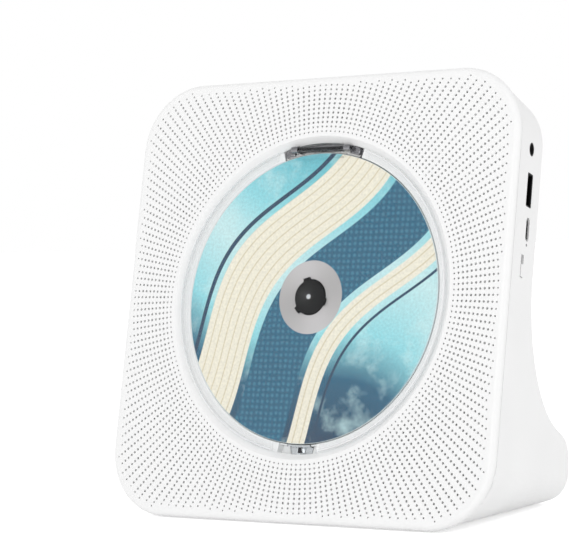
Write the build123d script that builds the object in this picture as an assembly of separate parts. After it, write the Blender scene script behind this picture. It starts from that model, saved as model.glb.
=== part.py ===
from build123d import *
import os
from math import cos, hypot, pi, radians, sin, sqrt, tan

# Desktop disc player with a perforated square front that leans back on a swept foot.
#
# Everything is modelled in the face frame and moved to the table frame when it is written:
#   face frame   x to the right, y up the leaning face, z out of the face, origin at the
#                centre of the disc bay in the plane of the face, so inside is negative z
#   table frame  +X to the right, +Y to the rear, +Z up, origin on the table below the middle
# A "sink" is a depth behind the plane of the face. Lengths are millimetres, angles degrees.

# ---------------------------------------------------------------- driving dimensions
# disc bay and cover
disc_radius, disc_hole, disc_thickness = 60.0, 7.5, 1.2
stacking_ring, stacking_ring_width, stacking_ring_rise = 17.4, 0.6, 0.2
disc_room = 4.3              # from the disc's edge to the wall of the bay
bay_bevel = 2.4              # bevel of the front shell around the bay
bay_wall = 1.8
bay_room = 5.7               # below the disc, down to the floor of the bay
bay_flange, bay_flange_thickness = 1.4, 1.5
bay_ear_reach, bay_ear_sink, bay_ear_radius = 6.9, 7.0, 3.4
bay_screw_angles = (20.0, 160.0, 200.0, 340.0)
cover_gap = 0.4              # radial gap around the clear cover
cover_thickness = 1.6
cover_sink = 0.3             # edge of the cover
cover_rise = 2.4             # rise of the shallow dome
cover_clearance = 0.7        # between the cover's edge and the disc
hinge_inset = 2.7            # hinge pin inside the wall of the bay
hinge_sink = 1.2
pin_radius = 0.75
barrel_radius = 1.5
barrel_half_length = 11.0    # the cover's barrel reaches this far to each side
ear_width = 3.0
hinge_gap = 0.3              # between the barrel and the ears
running_gap = 0.05           # radial clearance of shafts and pins that turn
bracket_half_width, bracket_sink = 19.4, 4.5
bracket_disc_gap = 0.8       # hinge bracket to the disc's edge
strike_width, strike_thickness, strike_flare = 11.0, 0.8, 0.8
strike_disc_gap, strike_wall_gap = 1.0, 0.3
magnet_height, magnet_inset, magnet_side_inset = 2.1, 0.2, 1.5
catch_half_width, catch_gap = 3.0, 0.3

# face and case
face_margin = 25.3           # from the bevel around the bay to the edge of the face
corner_radius = 28.0         # corners of the front shell
lean = 12.5                  # the face leans back by this angle
overall_depth = 99.0         # from the foot of the face to the back of the foot
face_wall = 2.6              # thickness of the front shell
rim_round = 2.4              # rounded rim around the face
shell_step = 0.5             # the rear housing stands in from the front shell by this
side_taper = 9.5             # the housing narrows to the rear by this angle a side
wall = 2.2                   # wall of the rear housing
slab_depth = 32.0            # depth of the upper, slab-shaped part of the housing
sweep_start = 12.0           # height above the bay's centre where the back begins to sweep out
sweep_angle = 78.0           # how far that sweep turns
foot_height = 26.0           # upright back of the foot
least_ledge = 14.0           # shortest sloping top of the foot
foot_round = 12.0            # convex round at the top of the foot
back_edge_round = 4.0        # round along the rear edges of the side walls and the heel
lip_length, lip_wall, lip_gap = 5.0, 1.5, 0.25

# perforated grille
grille_columns = 200         # holes in a full ring
grille_inset = 2.0           # from the bevel around the bay to the innermost ring
grille_pitch = 1.95          # from ring to ring
grille_hole = 0.95           # diameter of a hole
grille_rings = 24
speaker_open_radius = 13.0   # the grille is pierced right through within this radius

# spindle
table_radius, table_thickness, table_edge = 14.6, 1.9, 0.5
table_boss_wall = 2.4
table_gap = 3.4              # around the turntable in the floor of the bay
hub_gap = 0.3                # hub inside the disc's hole
hub_rise = 1.2               # hub above the disc
claw_overlap, claw_length, claw_width, claw_slot, claw_lift = 0.6, 2.6, 3.0, 0.2, 0.05
claw_angles = (105.0, 225.0, 345.0)
spindle_radius, spindle_proud = 1.0, 0.2
spindle_motor_radius, spindle_motor_height, spindle_motor_round = 11.0, 7.0, 1.0
spindle_motor_boss, spindle_motor_floor = 3.0, 0.5

# mechanism deck below the bay
deck_gap = 0.9               # floor of the bay to the deck
deck_thickness = 1.4
deck_side_rim, deck_top_rim, deck_damper_rim = 4.6, 2.0, 8.0
deck_corner = 6.0
damper_radius, damper_core, damper_groove, damper_cap = 4.2, 1.9, 3.1, 1.7
damper_inset, damper_column, damper_row = 12.3, 14.0, 32.0
damper_lug_wall, damper_lug_overlap = 2.0, 4.0

# pickup sled
lens_inner = 24.0            # lens to spindle with the sled parked
play_margin = 2.0            # outermost place of the lens to the disc's edge
tower_radius, tower_gap = 4.2, 0.5
holder_radius, holder_height, holder_gap, holder_rim = 3.2, 4.0, 0.2, 0.6
lens_radius, lens_height, lens_round, lens_clearance = 2.2, 1.2, 0.5, 1.5
focus_travel = 0.4
sled_inner, sled_outer = 9.0, 13.0   # sled body on either side of the lens
sled_low, sled_motor_gap = -22.0, 1.0
sled_gap, sled_thickness, sled_round = 0.5, 5.0, 1.5
relief_side, relief_end, relief_web = 3.0, 5.0, 1.0
rod_radius, rod_rows = 1.5, (-18.0, 9.0)
rod_holder, holder_wall, end_gap = 2.0, 1.2, 0.4

# sled drive
gear_module, addendum, dedendum = 1.0, 0.8, 1.05
tooth_root_share, tooth_tip_share = 0.29, 0.11   # half of a tooth, in tooth pitches
small_teeth, large_teeth, motor_teeth = 12, 28, 10
large_width, gear_neck, gear_cover = 1.6, 3.0, 0.3
rack_web, rack_height = 3.45, 3.0
gear_column = -30.0
motor_angle = 50.0           # direction from the gear to the sled motor
sled_motor_radius, sled_motor_round, motor_shaft, motor_gap = 8.0, 0.8, 0.75, 0.5
gear_layer_gap = 0.6
gear_pin_radius, gear_pin_head, gear_pin_head_height, gear_end_gap = 1.0, 1.8, 0.6, 0.3

# sound
speaker_side_gap = 0.7       # speaker well to the tongue of the front shell
speaker_flange, speaker_radius, flange_thickness = 19.5, 17.4, 1.5
basket_depth, basket_foot, basket_sheet = 9.0, 11.0, 1.0
basket_window, basket_window_height = 6.0, 3.0
cone_throat, cone_roll, cone_gap = 6.0, 3.5, 0.4
dust_cap_depth, dust_cap_shoulder = 2.0, 1.5
paper = 0.5
speaker_magnet_radius, speaker_magnet_height, magnet_edge = 12.0, 5.0, 0.6
well_wall, well_height = 1.0, 3.0
gasket = 0.3                 # between a speaker or the display and the face

# display behind the grille at the top
display_width, display_height, display_depth, display_edge = 24.0, 12.5, 6.0, 0.5
display_inset = 14.2         # centre of the display below the top edge of the face

# main board and the sockets on the right-hand side
board_sink, board_thickness = 20.4, 1.6
board_width, board_height = 56.0, 70.0
board_side_gap = 2.0         # board to the side wall
board_top_gap = 4.0          # board to the screw post above it
board_margin, board_socket_margin = 5.0, 15.0
board_post_radius = 3.0
processor_size, processor_rise, processor_offset = 12.0, 1.2, (16.0, 30.0)
amplifier_size, amplifier_rise, amplifier_offset = 6.0, 1.0, (15.0, 47.0)
coil_size, coil_rise, coil_offset = 10.0, 3.0, (33.0, 55.0)
capacitor_radius, capacitor_rise, capacitor_pitch, capacitor_offset = 3.1, 6.0, 8.0, (30.0, 16.0)
socket_inset = 1.0           # mouths of the sockets behind the wall's outer face
port_gap = 0.25              # case opening around each socket
jack_drop = 5.0              # jack below the upper edge of the board
jack_to_usb_a, usb_a_to_usb_c = 16.3, 15.5
usb_c_to_light, light_to_switch = 6.2, 9.0
jack_bore, jack_size, jack_length, jack_floor = 3.6, 7.4, 13.0, 1.0
jack_collar = 5.0            # round collar that shows in the case
usb_a_width, usb_a_thickness, usb_a_length = 13.1, 5.7, 14.0
usb_a_round, usb_a_tongue_width, usb_a_tongue_thickness = 0.5, 11.0, 1.8
usb_c_width, usb_c_thickness, usb_c_length = 8.94, 3.26, 7.4
usb_c_tongue_width, usb_c_tongue_thickness = 6.7, 0.7
socket_sheet, tongue_inset = 0.4, 1.0
light_size, light_base, light_base_length, light_rise, light_inset = 1.2, 2.0, 4.0, 1.6, 0.1
switch_sink = 15.4
switch_knob_length, switch_knob_width, switch_knob_proud, switch_travel = 5.0, 2.6, 0.5, 3.6
switch_gap, switch_lift, switch_wall_gap = 0.3, 0.1, 1.6
switch_plate_width, switch_plate_thickness, switch_plate_overlap = 5.0, 0.8, 0.8
switch_body_length, switch_body_depth, switch_body_front = 11.6, 6.0, 2.5

# buttons on top
button_count, button_pitch, button_sink = 5, 16.0, 16.0
button_radius, button_gap, button_proud, button_round = 4.2, 0.3, 1.2, 0.6
button_travel = 0.8
button_flange, button_flange_overlap, button_flange_gap = 0.9, 0.9, 0.15
button_stem_radius, button_stem = 1.6, 1.2
tact_size, tact_height, tact_gap = 6.0, 3.4, 0.1
button_board_thickness, button_board_width, button_board_end = 1.2, 10.0, 12.0
button_post_radius, button_post_end = 1.9, 3.2

# fasteners
screw_hole, screw_radius, screw_head, screw_head_height = 1.6, 1.4, 2.7, 1.8
small_screw_hole, small_screw_radius = 1.2, 1.0
screw_inset, low_screw_row = 18.0, -34.0
screw_tip_gap = 0.8          # tip of a screw to the bottom of its hole
board_screw_length = 6.0
post_radius, boss_radius, small_boss_radius = 4.0, 3.4, 2.6
boss_end = 10.0              # front bosses meet the rear posts at this depth
counterbore, screw_floor = 3.1, 2.4

# feet
foot_stand = 1.0             # the base stands this far above the table
pad_radius, pad_sunk, pad_gap = 6.5, 1.0, 0.1
front_pad_x, front_pad_inset = 50.0, 20.0    # from the middle, and behind the base's front edge
rear_pad_x, rear_pad_inset = 46.0, 14.0      # from the middle, and ahead of the back

# battery in the foot
cell_radius, cell_length, cell_gap = 9.2, 66.0, 0.3
cradle_wall = 1.6

# ---------------------------------------------------------------- derived places
touching = 0.01              # tolerance when edges are picked by their place
bay_radius = disc_radius + disc_room
half = bay_radius + bay_bevel + face_margin
body_half = half - shell_step
base_drop = body_half * cos(radians(lean)) + face_wall * sin(radians(lean))
front_reach = (half - rim_round) * sin(radians(lean)) + rim_round * (1 - cos(radians(lean)))
back_reach = overall_depth - front_reach
face_y = front_reach - overall_depth / 2
face_z = foot_stand + base_drop
FACE = Plane(origin=(0, face_y, face_z), x_dir=(1, 0, 0),
             z_dir=(0, -cos(radians(lean)), sin(radians(lean))))
# the table's directions seen in the face frame, with the same origin as the face
TABLE = Plane(origin=(0, 0, 0), x_dir=(1, 0, 0), z_dir=(0, cos(radians(lean)), sin(radians(lean))))

cover_radius = bay_radius - cover_gap
cover_back = cover_sink + cover_thickness
disc_sink = cover_back + cover_clearance
disc_back = disc_sink + disc_thickness
bay_floor = disc_back + bay_room
bay_back = bay_floor + bay_wall
hinge_height = bay_radius - hinge_inset
ear_start = barrel_half_length + hinge_gap
ear_end = ear_start + ear_width
strike_sink = bay_floor - magnet_height - strike_thickness
strike_inner = disc_radius + strike_disc_gap
strike_outer = bay_radius - strike_wall_gap

hub_radius = disc_hole - hub_gap
hub_front = disc_sink - hub_rise
table_back = disc_back + table_thickness
table_boss = spindle_radius + table_boss_wall

deck_front = bay_back + deck_gap
deck_back = deck_front + deck_thickness
damper_back = deck_back + damper_cap
damper_places = [(x, y) for x in (damper_inset - bay_radius, damper_column)
                 for y in (-damper_row, damper_row)]
sled_travel = disc_radius - play_margin - lens_inner
sled_front = deck_back + sled_gap
sled_back = sled_front + sled_thickness
rod_sink = (sled_front + sled_back) / 2
rod_right = -lens_inner + sled_inner + end_gap + rod_holder
rod_left = -lens_inner - sled_travel - sled_outer - end_gap - rod_holder
deck_left, deck_right = rod_left - deck_side_rim, damper_column + deck_damper_rim
deck_low = damper_lug_overlap - damper_row
sled_high = spindle_motor_radius + sled_motor_gap
lens_top = disc_back + lens_clearance
holder_back = lens_top + holder_height

small_pitch = gear_module * small_teeth / 2
large_pitch = gear_module * large_teeth / 2
motor_pitch = gear_module * motor_teeth / 2
rack_row = sled_high + rack_web + dedendum * gear_module
gear_row = rack_row + small_pitch
motor_x = gear_column + (large_pitch + motor_pitch) * cos(radians(motor_angle))
motor_y = gear_row + (large_pitch + motor_pitch) * sin(radians(motor_angle))
deck_high = motor_y + sled_motor_radius + deck_top_rim
small_front = rod_sink - rack_height / 2 - gear_cover
small_back = rod_sink + rack_height / 2 + gear_cover
large_front = sled_back + gear_layer_gap
large_back = large_front + large_width

speaker_place = body_half - wall - lip_gap - lip_wall - speaker_side_gap - well_wall - gasket - speaker_flange
speaker_front = face_wall + gasket
speaker_foot = speaker_front + basket_depth
display_row = half - display_inset

board_back = board_sink + board_thickness
jack_sink = board_sink - jack_size / 2
usb_a_sink = board_sink - usb_a_thickness / 2
usb_c_sink = board_sink - usb_c_thickness / 2
light_sink = board_sink - light_rise
board_high = half - screw_inset - post_radius - board_top_gap
board_low = board_high - board_height
jack_height = board_high - jack_drop
usb_a_height = jack_height - jack_to_usb_a
usb_c_height = usb_a_height - usb_a_to_usb_c
light_height = usb_c_height - usb_c_to_light
switch_height = light_height - light_to_switch
screw_places = [(x, y) for x in (screw_inset - half, half - screw_inset)
                for y in (half - screw_inset, low_screw_row)]


def table_to_face(y, z):
    """Depth behind the face and height up it of a point given in the table's directions."""
    depth = y * cos(radians(lean)) - z * sin(radians(lean))
    height = y * sin(radians(lean)) + z * cos(radians(lean))
    return depth, height


def wall_x(sink):
    """Outer face of the side walls at a depth behind the face."""
    return body_half - tan(radians(side_taper)) * (sink - face_wall)


def inside_x(sink):
    """Inner face of the side walls at a depth behind the face."""
    return wall_x(sink) - wall


def sweep_fit():
    """Radius of the sweep and length of the foot's sloping top that meet the upright back."""
    turn, slope = radians(sweep_angle), radians(sweep_angle - lean)
    start_y = slab_depth * cos(radians(lean)) + sweep_start * sin(radians(lean))
    start_z = sweep_start * cos(radians(lean)) - slab_depth * sin(radians(lean))
    reach, fall = back_reach - start_y, start_z + base_drop - foot_height
    arc_y = (1 - cos(turn)) * cos(radians(lean)) - sin(turn) * sin(radians(lean))
    arc_z = sin(turn) * cos(radians(lean)) + (1 - cos(turn)) * sin(radians(lean))
    share = arc_y * cos(slope) - arc_z * sin(slope)
    ledge = max((arc_y * fall - arc_z * reach) / share, least_ledge)
    return (reach - ledge * sin(slope)) / arc_y, ledge


sweep_radius, foot_ledge = sweep_fit()
back_inside = slab_depth - wall
heel_sink = table_to_face(back_reach, -base_drop)[0]
board_right = inside_x(board_back) - board_side_gap
board_left = board_right - board_width
switch_face = inside_x(switch_sink) - switch_wall_gap


# ---------------------------------------------------------------- building blocks
def slab(width, height, corner, front, back, at=(0, 0)):
    """Rounded plate between two depths behind the face."""
    sketch = Pos(at[0], at[1], -back) * RectangleRounded(width, height, corner)
    return extrude(sketch, amount=back - front)


def block(left, right, low, high, front, back):
    """Plain block between two depths behind the face."""
    place = Pos((left + right) / 2, (low + high) / 2, -(front + back) / 2)
    return place * Box(right - left, high - low, back - front)


def rod(radius, front, back, at=(0, 0)):
    """Round bar along the face's normal."""
    return Pos(at[0], at[1], -(front + back) / 2) * Cylinder(radius, back - front)


def ring(outer, inner, front, back, at=(0, 0)):
    """Round tube along the face's normal."""
    return rod(outer, front, back, at) - rod(inner, front, back, at)


def bar_x(radius, left, right, height, sink):
    """Round bar that lies across the face."""
    place = Pos((left + right) / 2, height, -sink) * Rot(0, 90, 0)
    return place * Cylinder(radius, right - left)


def side_port(width, thickness, corner, height, sink, left, right):
    """Rounded bar that lies across the case, used for sockets and their openings."""
    outline = Plane(origin=(left, height, -sink), x_dir=(0, 1, 0), z_dir=(1, 0, 0))
    return extrude(outline * RectangleRounded(width, thickness, corner), amount=right - left)


def upright(radius, bottom, top, x, y):
    """Round bar along the table's normal, with heights from the face's centre."""
    return TABLE.location * Pos(x, y, (bottom + top) / 2) * Cylinder(radius, top - bottom)


def turned(points, place=(0, 0)):
    """Body turned around the face's normal from (radius, depth) points."""
    outline = make_face(Polyline(*[(radius, -sink) for radius, sink in points], close=True))
    return Pos(place[0], place[1], 0) * revolve(Plane.XZ * outline, Axis.Z)


def joined(pieces):
    """One node that holds several separate solids."""
    return Compound(children=list(pieces))


def tooth_corners(root, tip):
    """Corners of one tooth as (distance from the pitch line's origin, share of the pitch)."""
    return ((root, -tooth_root_share), (tip, -tooth_tip_share),
            (tip, tooth_tip_share), (root, tooth_root_share))


def gear_outline(teeth, turn):
    """Spur gear profile whose first tooth points in the direction turn."""
    pitch = gear_module * teeth / 2
    tip, root = pitch + addendum * gear_module, pitch - dedendum * gear_module
    step = 360 / teeth
    points = []
    for tooth in range(teeth):
        for radius, share in tooth_corners(root, tip):
            angle = radians(turn + (tooth + share) * step)
            points.append((radius * cos(angle), radius * sin(angle)))
    return make_face(Polyline(*points, close=True))


# ---------------------------------------------------------------- case
def tapered_block(inset):
    """Rounded block that narrows to the rear, with its underside level with the table."""
    far = heel_sink + foot_round
    sections = []
    for depth in (face_wall, far):
        narrowing = tan(radians(side_taper)) * (depth - face_wall)
        reach = body_half - narrowing - inset
        low = -body_half + (depth - face_wall) * tan(radians(lean)) + inset / cos(radians(lean))
        corner = corner_radius - shell_step - narrowing - inset
        centre = Pos(0, (reach + low) / 2, -depth)
        sections.append(centre * RectangleRounded(2 * reach, reach - low, corner))
    return loft(sections)


def side_profile(inset):
    """Outline of the case seen from the side: slab, concave sweep, foot and level base."""
    slab_back = slab_depth - inset
    radius = sweep_radius + inset
    middle = slab_depth + sweep_radius
    turn = radians(sweep_angle)
    end_depth, end_height = middle - radius * cos(turn), sweep_start - radius * sin(turn)
    on_arc = (sweep_start - radius * sin(turn / 2), -(middle - radius * cos(turn / 2)))
    # the straight run after the sweep meets the upright back of the foot at the knee
    rear, base = back_reach - inset, -base_drop + inset
    fall, back = -cos(turn), sin(turn)
    run = (rear - end_depth * cos(radians(lean)) - end_height * sin(radians(lean))) / (
        back * cos(radians(lean)) + fall * sin(radians(lean)))
    knee = (end_height + run * fall, -(end_depth + run * back))
    heel_depth, heel_up = table_to_face(rear, base)
    heel = (heel_up, -heel_depth)
    toe = ((base + face_wall * sin(radians(lean))) / cos(radians(lean)), -face_wall)
    face = make_face(Curve() + [
        Line((half, -face_wall), (half, -slab_back)),
        Line((half, -slab_back), (sweep_start, -slab_back)),
        ThreePointArc((sweep_start, -slab_back), on_arc, (end_height, -end_depth)),
        Line((end_height, -end_depth), knee),
        Line(knee, heel),
        Line(heel, toe),
        Line(toe, (half, -face_wall)),
    ])
    knee_corner = min(face.vertices(), key=lambda v: hypot(v.X - knee[0], v.Y - knee[1]))
    room = tan(radians(180 - sweep_angle + lean) / 2) * (min(run, foot_ledge) - inset)
    return fillet(knee_corner, min(foot_round - inset, room - touching))


def case_block(inset):
    """Outside of the rear housing, or its inside when inset by the wall."""
    profile = Plane.YZ * side_profile(inset)
    return tapered_block(inset) & extrude(profile, amount=2 * half, both=True)


def back_edges(solid):
    """Edges around the rear of the case and the one along the heel, without those of the base."""
    found = []
    for edge in solid.edges():
        middle, along = edge.position_at(0.5), edge.tangent_at(0.5)
        nearest = max(vertex.Z for vertex in edge.vertices())
        level = middle.Y * cos(radians(lean)) + middle.Z * sin(radians(lean)) + base_drop
        across, on_base = abs(along.X) > 1 - touching, abs(level) < touching
        if across and on_base and middle.Z < -slab_depth:
            found.append(edge)
        elif nearest < -face_wall - touching and not across and (not on_base or abs(along.X) > 0.5):
            found.append(edge)
    return found


def case_outside():
    """Outside of the rear housing with its rounded rear edges."""
    whole = case_block(0)
    return fillet(back_edges(whole), back_edge_round)


def grille_holes(keep):
    """Centres of the grille's holes, ring by ring, for which keep(x, y) is true."""
    first = bay_radius + bay_bevel + grille_inset
    centres = []
    for ring_number in range(grille_rings):
        radius = first + ring_number * grille_pitch
        for column in range(grille_columns):
            angle = radians(90 + column * 360 / grille_columns)
            x, y = radius * cos(angle), radius * sin(angle)
            if keep(x, y):
                centres.append((x, y))
    return centres


def over_a_speaker(x, y):
    """Whether a hole lies over the open part of a speaker."""
    return hypot(abs(x) - speaker_place, y + speaker_place) < speaker_open_radius


def bay_ears():
    """Places of the four screws that hold the bay to the front shell."""
    reach = bay_radius + bay_ear_reach + bay_wall
    return [(reach * cos(radians(angle)), reach * sin(radians(angle))) for angle in bay_screw_angles]


def speaker_well(side):
    """Round rib that locates a speaker on the front shell."""
    inner = speaker_flange + gasket
    return ring(inner + well_wall, inner, face_wall, face_wall + well_height,
                (side * speaker_place, -speaker_place))


def display_well():
    """Rectangular rib that locates the display on the front shell."""
    width, height = display_width + 2 * gasket, display_height + 2 * gasket
    back = face_wall + well_height
    rib = slab(width + 2 * well_wall, height + 2 * well_wall, well_wall, face_wall, back,
               (0, display_row))
    return rib - block(-width / 2, width / 2, display_row - height / 2, display_row + height / 2,
                       face_wall, back)


def front_shell():
    """Moulded front: plate with the bay's bevelled opening, grille, tongue, bosses and wells."""
    plate = slab(2 * half, 2 * half, corner_radius, 0, face_wall)
    shell = fillet(plate.edges().group_by(Axis.Z)[-1], min(rim_round, face_wall - touching))
    tongue = tapered_block(wall + lip_gap) - tapered_block(wall + lip_gap + lip_wall)
    shell += tongue & block(-half, half, -half, half, face_wall, face_wall + lip_length)
    shell -= rod(bay_radius, 0, face_wall)
    shell -= Pos(0, 0, -bay_bevel / 2) * Cone(bay_radius, bay_radius + bay_bevel, bay_bevel)
    for place in screw_places:
        shell += rod(boss_radius, face_wall, boss_end, place)
        shell -= rod(screw_radius, face_wall, boss_end, place)
    for place in bay_ears():
        shell += rod(small_boss_radius, face_wall, bay_ear_sink, place)
        shell -= rod(small_screw_radius, face_wall, bay_ear_sink, place)
    shell += [speaker_well(-1), speaker_well(1), display_well()]
    holes = Sketch() + [Pos(x, y) * Circle(grille_hole / 2) for x, y in grille_holes(over_a_speaker)]
    return shell - extrude(holes, amount=-face_wall)


def foot_places():
    """Centres of the four pads in the table's directions, from the face's centre."""
    toe = -body_half * sin(radians(lean)) + face_wall * cos(radians(lean))
    front, rear = toe + front_pad_inset, back_reach - rear_pad_inset
    return [(-front_pad_x, front), (front_pad_x, front), (-rear_pad_x, rear), (rear_pad_x, rear)]


def cell_rows():
    """Rear and front cell: y and z from the face's centre in the table's directions."""
    low = -base_drop + wall + cell_gap + cell_radius
    rear = back_reach - wall - back_edge_round - cell_radius
    return [(rear, low), (rear - 2 * cell_radius - cell_gap, low)]


def cradle_rib(side):
    """Rib of the housing at one end of the cells."""
    (rear, low), (front, low) = cell_rows()
    height = cell_radius + cell_gap + wall / 2
    rib = Pos(side * (cell_length / 2 + cell_gap + cradle_wall / 2), (rear + front) / 2, low - height / 2)
    return TABLE.location * rib * Box(cradle_wall, rear - front + 2 * cell_radius, height)


def board_posts():
    """Places of the four screws that hold the main board."""
    return [(x, y) for x in (board_left + board_margin, board_right - board_socket_margin)
            for y in (board_low + board_margin, board_high - board_margin)]


def button_plane(x):
    """Plane on the outside of the top wall at a button, with its normal out of the case."""
    return Plane(origin=(x, wall_x(button_sink), -button_sink), x_dir=(1, 0, 0),
                 z_dir=(0, cos(radians(side_taper)), -sin(radians(side_taper))))


def below_top(x, shape, top, bottom):
    """A shape placed between two depths below the outside of the top wall."""
    return button_plane(x).location * Pos(0, 0, -(top + bottom) / 2) * shape


def button_columns():
    """Columns of the button row, centred on the case."""
    first = -(button_count - 1) / 2 * button_pitch
    return [first + number * button_pitch for number in range(button_count)]


top_inside = wall * cos(radians(side_taper))
flange_top = top_inside + button_flange_gap
stem_top = flange_top + button_flange
tact_top = stem_top + button_stem + tact_gap + button_travel
button_board_top = tact_top + tact_height
button_board_bottom = button_board_top + button_board_thickness
button_board_half = button_columns()[-1] + button_board_end
button_posts = [side * (button_board_half - button_post_end) for side in (-1, 1)]


def rear_housing():
    """Moulded rear: tapered shell with a swept foot, posts, ribs and side openings."""
    outside = case_outside()
    shell = outside - case_block(wall)
    for place in screw_places:
        shell += rod(post_radius, boss_end, heel_sink, place) & outside
        shell -= rod(screw_hole, boss_end, heel_sink, place)
        shell -= rod(counterbore, boss_end + screw_floor, heel_sink, place)
    for place in board_posts():
        shell += rod(board_post_radius, board_back, heel_sink, place) & outside
        shell -= rod(small_screw_radius, board_back, back_inside, place)
    for x in button_posts:
        shell += below_top(x, Cylinder(button_post_radius, button_board_top - wall / 2),
                           wall / 2, button_board_top)
        shell -= below_top(x, Cylinder(small_screw_radius, button_board_top - wall),
                           wall, button_board_top)
    shell += [cradle_rib(-1), cradle_rib(1)]
    start = switch_face - wall
    shell -= bar_x(jack_collar / 2 + port_gap, start, half, jack_height, jack_sink)
    shell -= side_port(usb_a_width + 2 * port_gap, usb_a_thickness + 2 * port_gap,
                       usb_a_round + port_gap, usb_a_height, usb_a_sink, start, half)
    shell -= side_port(usb_c_width + 2 * port_gap, usb_c_thickness + 2 * port_gap,
                       usb_c_thickness / 2, usb_c_height, usb_c_sink, start, half)
    shell -= bar_x(light_size / 2 + running_gap, start, half, light_height, light_sink)
    slot_length = switch_knob_length + switch_travel + 2 * switch_gap
    shell -= side_port(slot_length, switch_knob_width + 2 * switch_gap, switch_gap,
                       switch_height, switch_sink, start, half)
    for x in button_columns():
        shell -= button_plane(x).location * Cylinder(button_radius + button_gap, 4 * wall)
    for x, y in foot_places():
        shell -= upright(pad_radius, -base_drop - pad_sunk, -base_drop + pad_sunk, x, y)
    return shell


def foot_pad(x, y):
    """Rubber pad set into the base."""
    pad = upright(pad_radius - pad_gap, -base_drop - foot_stand, -base_drop + pad_sunk, x, y)
    rims = pad.edges().sort_by(lambda edge: edge.center().dot(TABLE.z_dir))
    return chamfer(rims[0], foot_stand / 3)


def screw(place, seat, tip, radius, head):
    """Pan-head screw whose head lies on the seat; the tip may lie before or behind the seat."""
    away = 1 if seat > tip else -1
    shank = rod(radius, min(seat, tip), max(seat, tip), place)
    crown = seat + away * screw_head_height
    cap = rod(head, min(seat, crown), max(seat, crown), place)
    return shank + fillet(cap.edges().group_by(Axis.Z)[0 if away > 0 else -1], screw_head_height / 3)


def case_screws():
    """Four screws from the rear into the front shell's bosses."""
    seat, tip = boss_end + screw_floor, face_wall + screw_tip_gap
    return joined([screw(place, seat, tip, screw_radius, screw_head) for place in screw_places])


def bay_screws():
    """Four screws that hold the bay's ears on the front shell."""
    seat, tip = bay_ear_sink + bay_wall, face_wall + screw_tip_gap
    return joined([screw(place, seat, tip, small_screw_radius, screw_head) for place in bay_ears()])


def damper_screws():
    """Four screws whose wide heads keep the dampers on their posts."""
    tip = bay_back + screw_tip_gap
    return joined([screw(place, damper_back, tip, small_screw_radius, damper_radius)
                   for place in damper_places])


def board_screws():
    """Screws of the main board and, at its ends, of the button board."""
    pieces = [screw(place, board_sink, board_sink + board_screw_length, small_screw_radius, screw_head)
              for place in board_posts()]
    for x in button_posts:
        tip = board_screw_length - button_board_thickness
        plain = screw((0, 0), 0, -tip, small_screw_radius, screw_head)
        pieces.append(button_plane(x).location * Pos(0, 0, -button_board_bottom) * plain)
    return joined(pieces)


# ---------------------------------------------------------------- bay, hinge and cover
def tower_slot(front, back):
    """Opening that the lens tower travels in."""
    reach = tower_radius + tower_gap
    near, far = lens_inner, lens_inner + sled_travel
    slot = block(-far, -near, -reach, reach, front, back)
    return slot + rod(reach, front, back, (-far, 0)) + rod(reach, front, back, (-near, 0))


def disc_bay():
    """Round dish behind the front shell with the drive's openings and posts for the deck."""
    outer = bay_radius + bay_wall
    dish = rod(outer, face_wall, bay_back)
    dish += ring(outer + bay_flange, bay_radius, face_wall, face_wall + bay_flange_thickness)
    arm = block(bay_radius + bay_wall / 2, outer + bay_ear_reach, -bay_ear_radius, bay_ear_radius,
                bay_ear_sink, bay_ear_sink + bay_wall)
    for place, angle in zip(bay_ears(), bay_screw_angles):
        dish += Rot(0, 0, angle) * arm
        dish += rod(bay_ear_radius, bay_ear_sink, bay_ear_sink + bay_wall, place)
        dish -= rod(small_screw_hole, bay_ear_sink, bay_ear_sink + bay_wall, place)
    dish -= rod(bay_radius, face_wall, bay_floor)
    dish -= rod(table_radius + table_gap, bay_floor, bay_back)
    dish -= tower_slot(bay_floor, bay_back)
    for place in damper_places:
        dish += rod(damper_core, bay_back, damper_back, place)
        dish -= rod(small_screw_radius, bay_back, damper_back, place)
    return dish


def hinge_bracket():
    """Arc-shaped bracket at the top of the bay with two ears that hold the pin."""
    outer = bay_radius - cover_gap / 2
    arc = ring(outer, disc_radius + bracket_disc_gap, bracket_sink, bay_floor)
    bracket = arc & block(-bracket_half_width, bracket_half_width, 0, bay_radius, bracket_sink, bay_floor)
    for side in (-1, 1):
        left, right = sorted((side * ear_start, side * ear_end))
        bracket += bar_x(barrel_radius, left, right, hinge_height, hinge_sink)
        bracket += block(left, right, hinge_height - barrel_radius, hinge_height + barrel_radius,
                         hinge_sink, bracket_sink + bracket_disc_gap)
    bracket &= rod(outer, -barrel_radius, bay_floor)
    return bracket - bar_x(pin_radius, -ear_end, ear_end, hinge_height, hinge_sink)


def cover_pin():
    """Steel hinge pin, held in the bracket's ears."""
    return bar_x(pin_radius, -ear_end, ear_end, hinge_height, hinge_sink)


def dome_profile():
    """Half section of the cover: a shallow dome of even thickness."""
    crown = cover_rise - cover_sink
    dome_radius = (cover_radius ** 2 + cover_rise ** 2) / (2 * cover_rise)
    middle = cover_radius / 2
    sag = dome_radius - sqrt(dome_radius ** 2 - middle ** 2)
    return make_face(Curve() + [
        ThreePointArc((0, crown), (middle, crown - sag), (cover_radius, -cover_sink)),
        Line((cover_radius, -cover_sink), (cover_radius, -cover_back)),
        ThreePointArc((cover_radius, -cover_back), (middle, crown - sag - cover_thickness),
                      (0, crown - cover_thickness)),
        Line((0, crown - cover_thickness), (0, crown)),
    ])


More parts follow.
